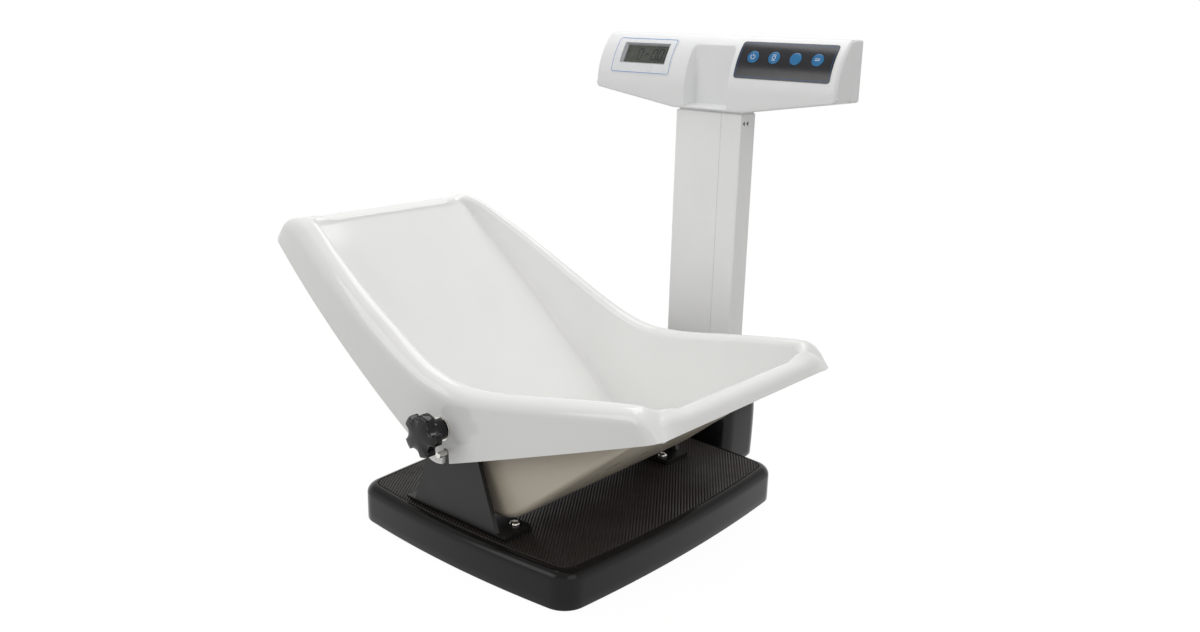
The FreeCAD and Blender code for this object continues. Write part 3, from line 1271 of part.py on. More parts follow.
def make_front():
    body = new_body("head_front")
    profile = sketch(body, "YZ")
    front_profile(profile)
    pad(body, profile, "2 * head_half", way="Symmetric")
    trim_underside(body)
    top, half = value("head_top"), value("head_half")
    fillet(body, "head_brow", lambda edge: same(edge.BoundBox.ZMin, top) and same(
        edge.BoundBox.ZMax, top) and edge.BoundBox.YMax < value("head_split_y") - 1)
    recess = sketch(body, "XZ", "-(recess_floor_y)")
    rectangle(recess, "recess_x - recess_half", "head_mid_low + recess_lip", "recess_x + recess_half",
              "recess_top")
    pocket(body, recess, reverse=True)
    joint = value("head_split_y")
    hollow_out(body, "head_wall", lambda face: same(face.BoundBox.YMin, joint) and same(
        face.BoundBox.YMax, joint))
    fillet(body, "head_edge", lambda edge: same(abs(edge.BoundBox.XMin), half) and same(
        abs(edge.BoundBox.XMax), half) and edge.BoundBox.YMin < value("head_split_y") - 1e-3)
    opening = tilted_sketch(body, "window_height", x="window_x")
    rectangle(opening, "-window_half_x", "-window_half_up", "window_half_x", "window_half_up")
    pocket(body, opening, "4 * head_wall", way="Symmetric")
    holes = tilted_sketch(body, "key_height")
    for x in KEYS:
        circle(holes, x, "0", "key_radius + loose_fit")
    pocket(body, holes, "4 * head_wall", way="Symmetric")
    panel_posts(body, "key_height", "keypad_x", "board_depth", BOARD_POSTS, "post_radius")
    panel_posts(body, "window_height", "window_x", "main_depth", MAIN_POSTS, "post_radius")
    for x, z in HEAD_SCREWS:
        boss = sketch(body, "XZ", "-(head_split_y)")
        circle(boss, x, z, "boss_post")
        pad(body, boss, "boss_length")
        bore = sketch(body, "XZ", "-(head_split_y)")
        circle(bore, x, z, "tab_radius + stud_play")
        pocket(body, bore, "boss_length - head_wall", reverse=True)
    cable_way = sketch(body, lift="head_mid_low + head_wall")
    circle(cable_way, "0", "cable_y", "cable_radius + loose_fit")
    for x, y in CAP_PLACES:
        circle(cable_way, x, y, "screw_radius + bolt_play")
    pocket(body, cable_way, "2 * head_wall")
    node("head_front", body)




def make_rear():
    body = new_body("head_rear")
    profile = sketch(body, "YZ")
    rectangle(profile, "head_split_y", "head_mid_low - head_wall", "head_back_y", "head_top")
    pad(body, profile, "2 * head_half", way="Symmetric")
    trim_underside(body)
    half, back = value("head_half"), value("head_back_y")
    fillet(body, "head_edge", lambda edge: (same(edge.BoundBox.YMin, back) and same(
        edge.BoundBox.YMax, back)) or (same(abs(edge.BoundBox.XMin), half) and same(
            abs(edge.BoundBox.XMax), half) and edge.BoundBox.YMax > back - 1))
    hollow = sketch(body, "XZ", "-(head_split_y)")
    far, low = "head_half - head_wall", "head_mid_low + under_wall"
    end, high = "head_end_low - head_wall * under_slope + under_wall", "head_top - head_wall"
    polygon(hollow, ((f"-({far})", high), (f"-({far})", end), ("-head_mid_half", low),
                     ("head_mid_half", low), (far, end), (far, high)))
    pocket(body, hollow, "head_back_y - head_split_y - head_wall")
    door = sketch(body, "XZ", "-(head_back_y)")
    rectangle(door, "door_x - door_half - door_gap", "door_low - door_gap",
              "door_x + door_half + door_gap", "door_high + door_gap")
    circle(door, "inlet_x", "inlet_z", "inlet_radius + loose_fit")
    pocket(body, door, "2 * head_wall", way="Symmetric")
    for x, z in HEAD_SCREWS:
        boss = sketch(body, "XZ", "-(head_split_y)")
        circle(boss, x, z, "boss_post")
        pad(body, boss, "head_back_y - head_split_y - head_wall / 2", reverse=True)
        bore = sketch(body, "XZ", "-(head_split_y)")
        circle(bore, x, z, "tab_radius + bolt_play")
        pocket(body, bore)
        sink = sketch(body, "XZ", "-(head_split_y + screw_seat)")
        circle(sink, x, z, "tab_head_radius + loose_fit")
        pocket(body, sink)
    node("head_rear", body)


def make_head_pieces():
    seat = "head_split_y + screw_seat"
    node("head_screws", group([fuse([
        rod(x, f"{seat} + tab_head", z, "tab_head_radius", "tab_head", "front"),
        rod(x, f"{seat} + tab_head", z, "tab_radius", "tab_head + screw_seat + tab_grip", "front")])
        for x, z in HEAD_SCREWS]))

    back = "column_front + column_depth"
    gap = "column_wall + loose_fit"
    lip = block("-(column_half - cap_inset)", "column_front + cap_inset", "column_top",
                "2 * (column_half - cap_inset)", "column_depth - 2 * cap_inset",
                "head_mid_low - column_top")
    plug = block(f"-(column_half - ({gap}))", f"column_front + {gap}", "column_top - cap_plug",
                 f"2 * (column_half - ({gap}))", f"column_depth - 2 * ({gap})", "cap_plug")
    bores = [rod(x, y, "column_top - cap_plug - 1", "screw_radius + stud_play",
                 "cap_plug + head_wall + 2") for x, y in CAP_PLACES]
    bores.append(rod("0", "cable_y", "column_top - cap_plug - 1", "cable_radius + loose_fit",
                     "cap_plug + head_wall + 2"))
    bores += [rod(x, back, z, "screw_radius + stud_play", "cap_side_screw + loose_fit", "front")
              for x, z in CAP_SCREWS]
    node("column_cap", cut(fuse([lip, plug]), bores))
    node("cap_side_screws", group([fuse([
        rod(x, f"{back} + screw_head", z, "screw_head_radius", "screw_head", "front"),
        rod(x, f"{back} + screw_head", z, "screw_radius", "screw_head + cap_side_screw", "front")])
        for x, z in CAP_SCREWS]))
    floor = "head_mid_low + head_wall"
    node("cap_top_screws", group([fuse([
        rod(x, y, floor, "tab_head_radius", "tab_head"),
        rod(x, y, f"{floor} - cap_top_screw", "screw_radius", "cap_top_screw + tab_head")])
        for x, y in CAP_PLACES]))


def film(name, x, half, with_holes):
    """A printed film bonded to the head's curved front."""
    body = new_body(name)
    strip = sketch(body, "YZ", x)
    ring_strip(strip, "head_curve + film_lift", "head_curve + film_lift + film_thick",
               "film_low", "film_high")
    pad(body, strip, f"2 * ({half})", way="Symmetric")
    with_holes(body)
    node(name, body)


def key_holes(body):
    holes = tilted_sketch(body, "key_height")
    for x in KEYS:
        circle(holes, x, "0", "key_radius + loose_fit")
    pocket(body, holes, "8 * film_thick", way="Symmetric")


def window_hole(body):
    opening = tilted_sketch(body, "window_height", x="window_x")
    rectangle(opening, "-window_half_x - loose_fit", "-window_half_up - loose_fit",
              "window_half_x + loose_fit", "window_half_up + loose_fit")
    pocket(body, opening, "8 * film_thick", way="Symmetric")


def slab(half_x, half_up, depth, thick, x="0", up="0"):
    """A plate parallel to the panel, from a depth inwards."""
    return block(f"{x} - ({half_x})", f"{up} - ({half_up})", f"-({depth}) - ({thick})",
                 f"2 * ({half_x})", f"2 * ({half_up})", thick)


def make_display():
    frame = slab("window_half_x - loose_fit", "window_half_up - loose_fit", "bezel_sunk", "bezel_deep")
    throat = slab("glass_half_x", "glass_half_up", "0", "2 * bezel_deep")
    bevel = doc.addObject("Part::Wedge", "bevel")
    sizes_of_wedge = (("Xmin", "-glass_half_x - bezel_bevel"), ("Xmax", "glass_half_x + bezel_bevel"),
                      ("Zmin", "-glass_half_up - bezel_bevel / 2"),
                      ("Zmax", "glass_half_up + bezel_bevel / 2"),
                      ("X2min", "-glass_half_x"), ("X2max", "glass_half_x"),
                      ("Z2min", "-glass_half_up"), ("Z2max", "glass_half_up"),
                      ("Ymin", "0"), ("Ymax", "bezel_bevel"))
    for side, formula in sizes_of_wedge:
        tie(bevel, side, formula)
    bevel.Placement = Placement(Vector(), Rotation(Vector(1, 0, 0), -90))
    put(bevel, "0", "0", "-bezel_sunk")
    panel_node("display_bezel", cut(frame, [throat, bevel]), "window_height", "window_x")
    glass_depth = "bezel_sunk + bezel_deep"
    panel_node("display_window", group([slab("window_half_x - loose_fit", "window_half_up - loose_fit",
                                             glass_depth, "glass_thick")]),
               "window_height", "window_x")
    lcd_depth = f"{glass_depth} + glass_thick"
    panel_node("lcd_module", group([slab("window_half_x - loose_fit", "window_half_up - loose_fit",
                                         lcd_depth, f"main_depth - ({lcd_depth})")]),
               "window_height", "window_x")
    board = slab("main_half_x", "main_half_up", "main_depth", "board_thick")
    panel_node("main_board", board_with_socket(board), "window_height", "window_x")


def board_with_socket(board):
    """The board carries the signal cable's socket on its inner face."""
    socket = block("socket_x", "socket_up - socket_half", "-(main_depth + board_thick + 2 * socket_half)",
                   "socket_long", "2 * socket_half", "2 * socket_half")
    return fuse([board, socket])


def make_keys():
    board = slab("key_board_half_x", "key_board_half_up", "board_depth", "board_thick")
    panel_node("key_board", group([board]), "key_height", "keypad_x")
    switches = [slab("switch_size / 2", "switch_size / 2", "board_depth - switch_thick",
                     "switch_thick", x=x) for x in KEYS]
    panel_node("key_switches", group(switches), "key_height")
    for number, x in enumerate(KEYS, start=1):
        top = "film_lift + film_thick + key_proud"
        cap = rod("0", "0", "-key_depth", "key_radius", f"key_depth + {top}")
        flange = rod("0", "0", "-(head_wall + key_flange_gap + key_flange_thick)",
                     "key_radius + key_flange", "key_flange_thick")
        panel_node(f"key_{number}", fuse([cap, flange]), "key_height", x)


def make_power():
    middle = "(door_low + door_high) / 2"
    near = "door_inner - cell_diameter - 2 * loose_fit"
    cells = [rod(f"door_x + {aside} * (cell_long + loose_fit) - cell_long / 2",
                 "door_inner - loose_fit - cell_diameter / 2",
                 f"{middle} + ({way} battery_pitch / 2)", "cell_diameter / 2", "cell_long", "right")
             for aside in ("-0.5", "0.5") for way in "+-"]
    node("batteries", group(cells))
    half = "cell_long + contact_thick + 2 * loose_fit"
    high = "battery_pitch / 2 + cell_diameter / 2 + loose_fit"
    box = block(f"door_x - ({half}) - tray_wall", f"{near} - tray_wall", f"{middle} - ({high}) - tray_wall",
                f"2 * ({half}) + 2 * tray_wall", f"door_inner - ({near}) + tray_wall",
                f"2 * ({high}) + 2 * tray_wall")
    room = block(f"door_x - ({half})", near, f"{middle} - ({high})", f"2 * ({half})",
                 "2 * cell_diameter", f"2 * ({high})")
    node("battery_tray", cut(box, [room]))
    contacts = [block(f"door_x + {place}", near, f"{middle} - ({high}) + loose_fit", "contact_thick",
                      "cell_diameter / 2 + contact_half", f"2 * ({high}) - 2 * loose_fit")
                for place in (f"({half}) - contact_thick", f"-({half})")]
    node("battery_contacts", group(contacts))

    door = new_body("battery_door")
    panel = sketch(door, "XZ", "-(head_back_y)")
    rectangle(panel, "door_x - door_half", "door_low", "door_x + door_half", "door_high")
    pad(door, panel, "door_thick", reverse=False)
    catch = sketch(door, "XZ", "-(head_back_y - door_thick)")
    rectangle(catch, "door_x - catch_half", "door_high - catch_in", "door_x + catch_half",
              "door_high + catch_over")
    pad(door, catch, "catch_thick", reverse=False)
    node("battery_door", door)

    body = block("inlet_x - inlet_half", "head_back_y - head_wall - inlet_long", "inlet_z - inlet_half",
                 "2 * inlet_half", "inlet_long", "2 * inlet_half")
    collar = rod("inlet_x", "head_back_y", "inlet_z", "inlet_radius", "head_wall + 1", "front")
    bore = rod("inlet_x", "head_back_y + 1", "inlet_z", "inlet_bore", "inlet_long", "front")
    node("power_inlet", cut(fuse([body, collar]), [bore]))


def make_cable():
    """The load cell's lead: along the base, up the column and over to the main board."""
    level = value("(cell_low + cell_top) / 2")
    side = value("cable_y")
    out = -value("cell_length / 2")
    turn = out - value("cable_bend + cable_clear")
    socket_depth = "(head_curve - main_depth - board_thick - socket_half)"
    top = value(f"head_curve_low + {socket_depth} * sin({slope('window_height')})")
    end = value("window_x + socket_x + socket_long")
    points = [Vector(out, 0, level), Vector(turn, 0, level), Vector(turn, value("cable_turn_y"), level),
              Vector(0, value("cable_in_y"), level), Vector(0, side, level), Vector(0, side, top),
              Vector(end, side, top)]
    bend = value("cable_bend")
    edges = rounded_edges(points, [0] + [bend] * (len(points) - 2) + [0])
    path = Part.Wire(edges)
    start = Part.Wire(Part.makeCircle(value("cable_radius"), points[0], points[1] - points[0]))
    tube = path.makePipeShell([start], True, False)
    expected = math.pi * value("cable_radius") ** 2 * path.Length
    if abs(tube.Volume - expected) > expected / 100:
        raise RuntimeError("the cable's volume is off")
    node("signal_cable", solid(tube))


LOBES = 5
make_cover()
make_mat()
make_base()
make_frame()
make_load_cell()
for name, side in SIDES:
    make_bracket(name, side)
    make_knob(name, side)
make_bracket_screws()
make_seat()
make_tongue()
make_column()
make_boot()
make_front()
make_rear()
make_head_pieces()
film("display_label", "label_x", "label_half", window_hole)
film("keypad_film", "keypad_x", "keypad_half", key_holes)
make_display()
make_keys()
make_power()
make_cable()

doc.recompute()
for made in doc.Objects:
    if "Invalid" in made.State or "Error" in made.State:
        raise RuntimeError(f"{made.Label}: {made.State}")
os.makedirs("parts", exist_ok=True)
for name, made in NODES.items():
    if made.Shape.isNull() or not made.Shape.isValid() or not made.Shape.Solids:
        raise RuntimeError(f"{name} is not a sound solid")
for name, made in NODES.items():
    made.Shape.exportStep(f"parts/{name}.step")
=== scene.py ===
"""Looks of a digital baby weighing scale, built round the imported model."""
import json
from contextlib import contextmanager
from math import atan2, cos, exp, hypot, log, pi, radians, sin, sqrt

import bmesh
import bpy
from mathutils import Matrix, Vector


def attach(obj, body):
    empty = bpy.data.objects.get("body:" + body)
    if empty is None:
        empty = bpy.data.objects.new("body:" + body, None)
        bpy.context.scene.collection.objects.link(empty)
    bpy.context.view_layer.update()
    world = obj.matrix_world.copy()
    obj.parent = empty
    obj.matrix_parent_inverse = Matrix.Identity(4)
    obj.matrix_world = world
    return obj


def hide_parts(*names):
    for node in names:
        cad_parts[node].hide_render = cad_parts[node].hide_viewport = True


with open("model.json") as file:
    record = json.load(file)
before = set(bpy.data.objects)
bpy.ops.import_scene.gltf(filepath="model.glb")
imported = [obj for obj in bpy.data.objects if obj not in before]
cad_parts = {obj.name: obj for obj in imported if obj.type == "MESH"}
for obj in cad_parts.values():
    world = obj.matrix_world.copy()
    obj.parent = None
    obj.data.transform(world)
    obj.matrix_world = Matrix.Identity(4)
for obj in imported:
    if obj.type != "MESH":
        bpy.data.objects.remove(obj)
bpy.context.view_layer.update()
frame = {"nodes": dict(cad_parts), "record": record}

MM = 0.001
# The frame's origin as seen from the platform's centre, mm. Heights count from the floor.
SHIFT = (37.25, -29.221)


def at(x, y, z):
    """A point given from the platform's centre in mm, in the frame's metres."""
    return Vector(((x + SHIFT[0]) * MM, (y + SHIFT[1]) * MM, z * MM))


def here(x, y, z):
    """A point in the frame's mm, in metres."""
    return Vector((x * MM, y * MM, z * MM))


# --- materials
WAVE_DEPTH, GRAIN_DEPTH = 0.002, 0.0001
GLOSS_PATCH = 3.1  # gloss varies in smaller patches than colour does


def node_tree(name):
    made = bpy.data.materials.new(name)
    made.use_nodes = True
    tree = made.node_tree
    shader = next(n for n in tree.nodes if n.type == "BSDF_PRINCIPLED")
    return made, tree, shader


def add(tree, kind, inputs=(), **settings):
    made = tree.nodes.new(kind)
    for key, given in settings.items():
        setattr(made, key, given)
    for key, given in inputs:
        if isinstance(given, bpy.types.NodeSocket):
            tree.links.new(given, made.inputs[key])
        else:
            made.inputs[key].default_value = given
    return made


def object_place(tree):
    return add(tree, "ShaderNodeTexCoord").outputs["Object"]


def noise(tree, where, scale, detail=3.0):
    inputs = (("Vector", where), ("Scale", scale), ("Detail", detail))
    return add(tree, "ShaderNodeTexNoise", inputs).outputs["Fac"]


def span(tree, fac, low, high, start=0.3, stop=0.7):
    keys = ("Value", "From Min", "From Max", "To Min", "To Max")
    inputs = zip(keys, (fac, start, stop, low, high))
    return add(tree, "ShaderNodeMapRange", inputs).outputs["Result"]


def blend(tree, fac, first, second):
    mixed = add(tree, "ShaderNodeMix", (("Factor", fac),), data_type="RGBA")
    for slot, given in ((6, first), (7, second)):
        if isinstance(given, bpy.types.NodeSocket):
            tree.links.new(given, mixed.inputs[slot])
        else:
            mixed.inputs[slot].default_value = (*given, 1)
    return mixed.outputs[2]


def bumped(tree, height, strength, depth, before=None):
    inputs = [("Height", height), ("Strength", strength), ("Distance", depth)]
    if before:
        inputs.append(("Normal", before))
    return add(tree, "ShaderNodeBump", inputs).outputs["Normal"]


def clamp(t):
    return max(0.0, min(1.0, t))


def shade(colour, by):
    return tuple(clamp(part * (1 + by)) for part in colour)


def surface(name, colour, rough, vary=0.04, patch=18, metal=0.0, rough_vary=0.05, grain=None,
            wave=None, level=0.5, stretch=None):
    """A procedural finish: patches of colour and gloss, slow unevenness and a fine grain.

    Wave and grain are given as strength and scale.
    """
    made, tree, shader = node_tree(name)
    place = object_place(tree)
    if stretch:
        scaled = add(tree, "ShaderNodeMapping", (("Vector", place), ("Scale", stretch)))
        place = scaled.outputs["Vector"]
    patches = span(tree, noise(tree, place, patch), 0, 1)
    tree.links.new(blend(tree, patches, shade(colour, -vary), shade(colour, vary)),
                   shader.inputs["Base Color"])
    tree.links.new(span(tree, noise(tree, place, patch * GLOSS_PATCH), clamp(rough - rough_vary),
                        clamp(rough + rough_vary)), shader.inputs["Roughness"])
    shader.inputs["Metallic"].default_value = metal
    shader.inputs["Specular IOR Level"].default_value = level
    normal = None
    for relief, depth in ((wave, WAVE_DEPTH), (grain, GRAIN_DEPTH)):
        if relief:
            strength, scale = relief
            normal = bumped(tree, noise(tree, place, scale), strength, depth, normal)
    if normal:
        tree.links.new(normal, shader.inputs["Normal"])
    return made


LOOK = {
    "seat": surface("seat gloss", (0.83, 0.83, 0.818), 0.085, vary=0.008, wave=(0.03, 9),
                    rough_vary=0.02),
    # The tub's outside: its darker, warmer cream is painted shade and painted warm reflection from
    # the mat; the moulding itself is the seat's white plastic.
    "underside": surface("seat underside painted shade", (0.57, 0.51, 0.42), 0.33, vary=0.03, patch=9,
                         wave=(0.06, 12), rough_vary=0.06),
    "shell": surface("shell white", (0.84, 0.845, 0.85), 0.34, vary=0.012, grain=(0.25, 1400)),
    "column": surface("column paint", (0.93, 0.93, 0.925), 0.34, vary=0.015, grain=(0.35, 2200),
                      wave=(0.03, 40)),
    "deck": surface("deck black", (0.0065, 0.0063, 0.006), 0.17, vary=0.06, patch=7,
                    rough_vary=0.03, wave=(0.03, 20), level=0.22),
    "foot": surface("foot rubber", (0.018, 0.018, 0.018), 0.8, vary=0.1, grain=(0.4, 900)),
    "bracket": surface("bracket black", (0.0085, 0.0083, 0.008), 0.33, vary=0.08, patch=12,
                       grain=(0.18, 1500), level=0.33),
    "boot": surface("boot black", (0.007, 0.007, 0.007), 0.17, vary=0.06, patch=7, rough_vary=0.03,
                    level=0.22),
    "knob": surface("knob gloss", (0.004, 0.004, 0.0045), 0.07, vary=0.05, patch=30,
                    wave=(0.02, 40), rough_vary=0.02, level=0.36),
    "nickel": surface("nickel", (0.72, 0.70, 0.66), 0.16, metal=1.0, vary=0.06, patch=120,
                      grain=(0.15, 1800)),
    "steel": surface("steel", (0.52, 0.52, 0.53), 0.38, metal=1.0, vary=0.08, patch=60,
                     grain=(0.4, 600), stretch=(1, 8, 1)),
    "alloy": surface("alloy", (0.66, 0.66, 0.67), 0.33, metal=1.0, vary=0.05, patch=50,
                     stretch=(1, 6, 6)),
    "brass": surface("brass", (0.60, 0.43, 0.18), 0.28, metal=1.0, vary=0.08, patch=150),
    "bezel": surface("bezel grey", (0.42, 0.43, 0.45), 0.4, grain=(0.3, 900)),
    "label": surface("label white", (0.80, 0.81, 0.83), 0.28, vary=0.01, grain=(0.15, 2500)),
    "keypad": surface("keypad charcoal", (0.011, 0.0115, 0.015), 0.16, vary=0.06,
                      grain=(0.3, 2600)),
    "key": surface("key blue", (0.012, 0.155, 0.36), 0.22, vary=0.06, patch=90),
    "board": surface("board green", (0.02, 0.12, 0.05), 0.35, vary=0.1, patch=90),
    "switch": surface("black moulding", (0.015, 0.015, 0.016), 0.5, vary=0.1, grain=(0.3, 900)),
    "cell": surface("cell sleeve", (0.03, 0.05, 0.10), 0.25, vary=0.1, patch=60),
    "cable": surface("cable jacket", (0.012, 0.012, 0.012), 0.45, vary=0.1, patch=60),
    "lcd": surface("lcd glass", (0.082, 0.085, 0.072), 0.3, vary=0.05, patch=40, level=0.2),
    "segment": surface("lcd segment", (0.004, 0.004, 0.004), 0.4, vary=0.05, patch=80),
    "blue": surface("printed blue", (0.03, 0.20, 0.55), 0.3, patch=120),
    "dim blue": surface("keypad line", (0.012, 0.085, 0.24), 0.3, patch=120),
    "white ink": surface("printed white", (0.72, 0.76, 0.82), 0.35, vary=0.02, patch=120),
    "black ink": surface("printed black", (0.01, 0.01, 0.011), 0.35, vary=0.05, patch=120),
}

RIB_PITCH, RIB_TURN, RIB_DEPTH = 3.0, radians(-36), 0.0007
# A wave texture repeats every 2 pi / 20 over its scale.
RIB_SCALE = 2 * pi / (20 * RIB_PITCH * MM)


def mat_rubber():
    """Ribbed rubber: fine ribs run slantwise over the mat, their valleys coloured darker as painted
    shade.
    """
    made, tree, shader = node_tree("mat rubber")
    place = object_place(tree)
    turned = add(tree, "ShaderNodeMapping", (("Vector", place), ("Rotation", (0, 0, RIB_TURN))))
    ribs = add(tree, "ShaderNodeTexWave", (("Vector", turned.outputs["Vector"]),
                                           ("Scale", RIB_SCALE))).outputs["Fac"]
    fine = noise(tree, place, 1400)
    dust = noise(tree, place, 22, detail=6)
    colour = blend(tree, span(tree, dust, 0, 1), (0.021, 0.0165, 0.0135), (0.029, 0.0235, 0.019))
    # painted shade: the rib valleys are coloured darker than the crests
    ribs_shaded = blend(tree, span(tree, ribs, 0, 1, 0.2, 0.9), (0.0125, 0.0098, 0.008), colour)
    tree.links.new(ribs_shaded, shader.inputs["Base Color"])
    tree.links.new(span(tree, dust, 0.42, 0.6), shader.inputs["Roughness"])
    shader.inputs["Specular IOR Level"].default_value = 0.3
    normal = bumped(tree, fine, 0.25, 0.0002, bumped(tree, ribs, 0.9, RIB_DEPTH))
    tree.links.new(normal, shader.inputs["Normal"])
    return made


def window_glass():
    made, tree, shader = node_tree("window clear")
    place = object_place(tree)
    tree.links.new(span(tree, noise(tree, place, 60), 0.03, 0.07), shader.inputs["Roughness"])
    tree.links.new(blend(tree, noise(tree, place, 30), (0.93, 0.96, 0.95), (0.97, 0.98, 0.98)),
                   shader.inputs["Base Color"])
    shader.inputs["Transmission Weight"].default_value = 1.0
    shader.inputs["IOR"].default_value = 1.12
    return made


LOOK["mat"] = mat_rubber()
LOOK["window"] = window_glass()


# --- pieces
def put(name, data):
    """A new object in the scene."""
    made = bpy.data.objects.new(name, data)
    bpy.context.collection.objects.link(made)
    return made


def mesh_piece(name, points, faces):
    mesh = bpy.data.meshes.new(name)
    mesh.from_pydata([tuple(p) for p in points], [], faces)
    return put(name, mesh)


@contextmanager
def editing(made, source=None):
    """A piece's mesh, or that of its source, open for bmesh and written to the piece afterwards."""
    work = bmesh.new()
    work.from_mesh((source or made).data)
    yield work
    work.to_mesh(made.data)
    work.free()


def shade_smooth(made, smooth=True):
    for face in made.data.polygons:
        face.use_smooth = smooth


def dress(made, look, body="scale", slot=None, stands_for=None, smooth=True):
    """Give a mesh its look, and say what it rides on and which node it replaces."""
    made.data.materials.append(LOOK[look])
    shade_smooth(made, smooth)
    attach(made, body)
    slot or look
    if stands_for:
        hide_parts(stands_for)
    return made


def piece(name, points, faces, look, **rest):
    made = mesh_piece(name, points, faces)
    made.data.validate()
    return dress(made, look, **rest)


def apply(made, kind, **settings):
    """Add a modifier, apply it and leave a plain mesh."""
    modifier = made.modifiers.new(kind.lower(), kind)
    for key, given in settings.items():
        setattr(modifier, key, given)
    evaluated = made.evaluated_get(bpy.context.evaluated_depsgraph_get())
    mesh = bpy.data.meshes.new_from_object(evaluated)
    made.modifiers.clear()
    old = made.data
    made.data = mesh
    bpy.data.meshes.remove(old)


def thicken(made, wall, **settings):
    """Give an open skin its wall, inwards."""
    apply(made, "SOLIDIFY", thickness=wall * MM, offset=-1, **settings)
    shade_smooth(made)


def sharpen(made, angle):
    """Smooth shading that stays crisp past an angle."""
    made.data.set_sharp_from_angle(angle=radians(angle))


def turn_outwards(made, join=0.0):
    """Turn all faces outwards, after joining points that are nearer than join."""
    with editing(made) as work:
        if join:
            bmesh.ops.remove_doubles(work, verts=work.verts, dist=join)
        bmesh.ops.recalc_face_normals(work, faces=work.faces)
    return made


def face_towards(made, order, way):
    """Turn an open skin so that its first face in the given order looks along way."""
    with editing(made) as work:
        bmesh.ops.recalc_face_normals(work, faces=work.faces)
        first = min(work.faces, key=lambda face: order(face.calc_center_median()))
        if first.normal.dot(way) < 0:
            bmesh.ops.reverse_faces(work, faces=work.faces)


def weld(made, dist=1e-6):
    """Join doubled points, drop faces of no size, close slits and turn all faces outwards."""
    with editing(made) as work:
        bmesh.ops.remove_doubles(work, verts=work.verts, dist=dist)
        bmesh.ops.dissolve_degenerate(work, dist=dist, edges=work.edges)
        slits = [edge for edge in work.edges if edge.is_boundary]
        ends = [spot for edge in slits for spot in edge.verts]
        for edge in slits:
            a, b = edge.verts
            along = b.co - a.co
            for spot in ends:
                if spot in (a, b):
                    continue
                share = (spot.co - a.co).dot(along) / along.length_squared
                if 0 < share < 1 and (a.co.lerp(b.co, share) - spot.co).length < dist:
                    bmesh.utils.edge_split(edge, a, share)
                    break
        bmesh.ops.remove_doubles(work, verts=work.verts, dist=dist)
        bmesh.ops.recalc_face_normals(work, faces=work.faces)


def eased(node, width):
    """A CAD node's shape with its sharp edges eased, as moulding or tumbling leaves them."""
    made = mesh_piece(node + "_eased", (), ())
    with editing(made, frame["nodes"][node]) as work:
        bmesh.ops.remove_doubles(work, verts=work.verts, dist=2e-6)
        bmesh.ops.dissolve_limit(work, angle_limit=radians(0.6), verts=work.verts, edges=work.edges)
    dress(made, SLOTS[node], BODY_OF[node], stands_for=node)
    apply(made, "BEVEL", width=width * MM, segments=2, limit_method="ANGLE",
          angle_limit=radians(35))
    shade_smooth(made)
    sharpen(made, 40)
    apply(made, "WEIGHTED_NORMAL", keep_sharp=True)


def arc(angles, radius, x=0, y=0):
    """Places round (x, y) at the given angles."""
    return [(x + radius * cos(angle), y + radius * sin(angle)) for angle in angles]


def circle(radius, count):
    return arc([2 * pi * i / count for i in range(count)], radius)


def quarter(steps):
    """Angles from nothing to a quarter turn."""
    return [pi / 2 * i / steps for i in range(steps + 1)]


CORNERS = ((1, 1), (-1, 1), (-1, -1), (1, -1))
SQUARE = ((-1, -1), (1, -1), (1, 1), (-1, 1))


def corner_arc(turn, x, y, radius, steps):
    """Places on a quarter round about (x, y); turn counts the quarters as CORNERS does."""
    return arc([pi / 2 * (turn + i / steps) for i in range(steps + 1)], radius, x, y)


def loft(rings, close=True, wrap=False):
    """Faces between rings of equal length, and from the last one to the first where it wraps."""
    count = len(rings[0])
    points = [p for ring in rings for p in ring]
    faces = []
    for number in range(len(rings) - (not wrap)):
        low, high = number * count, (number + 1) % len(rings) * count
        for i in range(count if close else count - 1):
            j = (i + 1) % count
            faces.append((low + i, low + j, high + j, high + i))
    return points, faces


def skin(rings, first=True):
    """A loft with its last ring filled, and its first where asked."""
    points, faces = loft(rings)
    count = len(rings[0])
    if first:
        faces.append(tuple(reversed(range(count))))
    faces.append(tuple(range(len(points) - count, len(points))))
    return points, faces


def rings_piece(name, rings, look, first=True, **rest):
    """A closed skin over a stack of rings."""
    return turn_outwards(piece(name, *skin(rings, first), look, **rest))


def add_shape(points, faces, more, skin_faces):
    """Add a shape to growing lists of points and faces."""
    faces += [tuple(i + len(points) for i in face) for face in skin_faces]
    points += more


def add_prism(points, faces, low, high):
    """Add the solid between two equal rings."""
    count = len(low)
    more, sides = loft([low, high])
    caps = [tuple(reversed(range(count))), tuple(range(count, 2 * count))]
    add_shape(points, faces, more, caps + sides)


def tool_from(rings):
    """A closed shape over rings, to cut with."""
    return turn_outwards(mesh_piece("tool", *skin(rings)))


def carve(made, tool, solver="EXACT"):
    """Cut a tool's shape out of a piece and remove the tool."""
    apply(made, "BOOLEAN", object=tool, operation="DIFFERENCE", solver=solver)
    mesh = tool.data
    bpy.data.objects.remove(tool)
    bpy.data.meshes.remove(mesh)


def ease(t):
    t = clamp(t)
    return t * t * (3 - 2 * t)


def mix(first, second, t):
    return first + (second - first) * t


def soft_max(levels, soft):
    """The highest of some levels, bending softly where they cross."""
    top = max(levels)
    return top + soft * log(sum(exp((level - top) / soft) for level in levels))


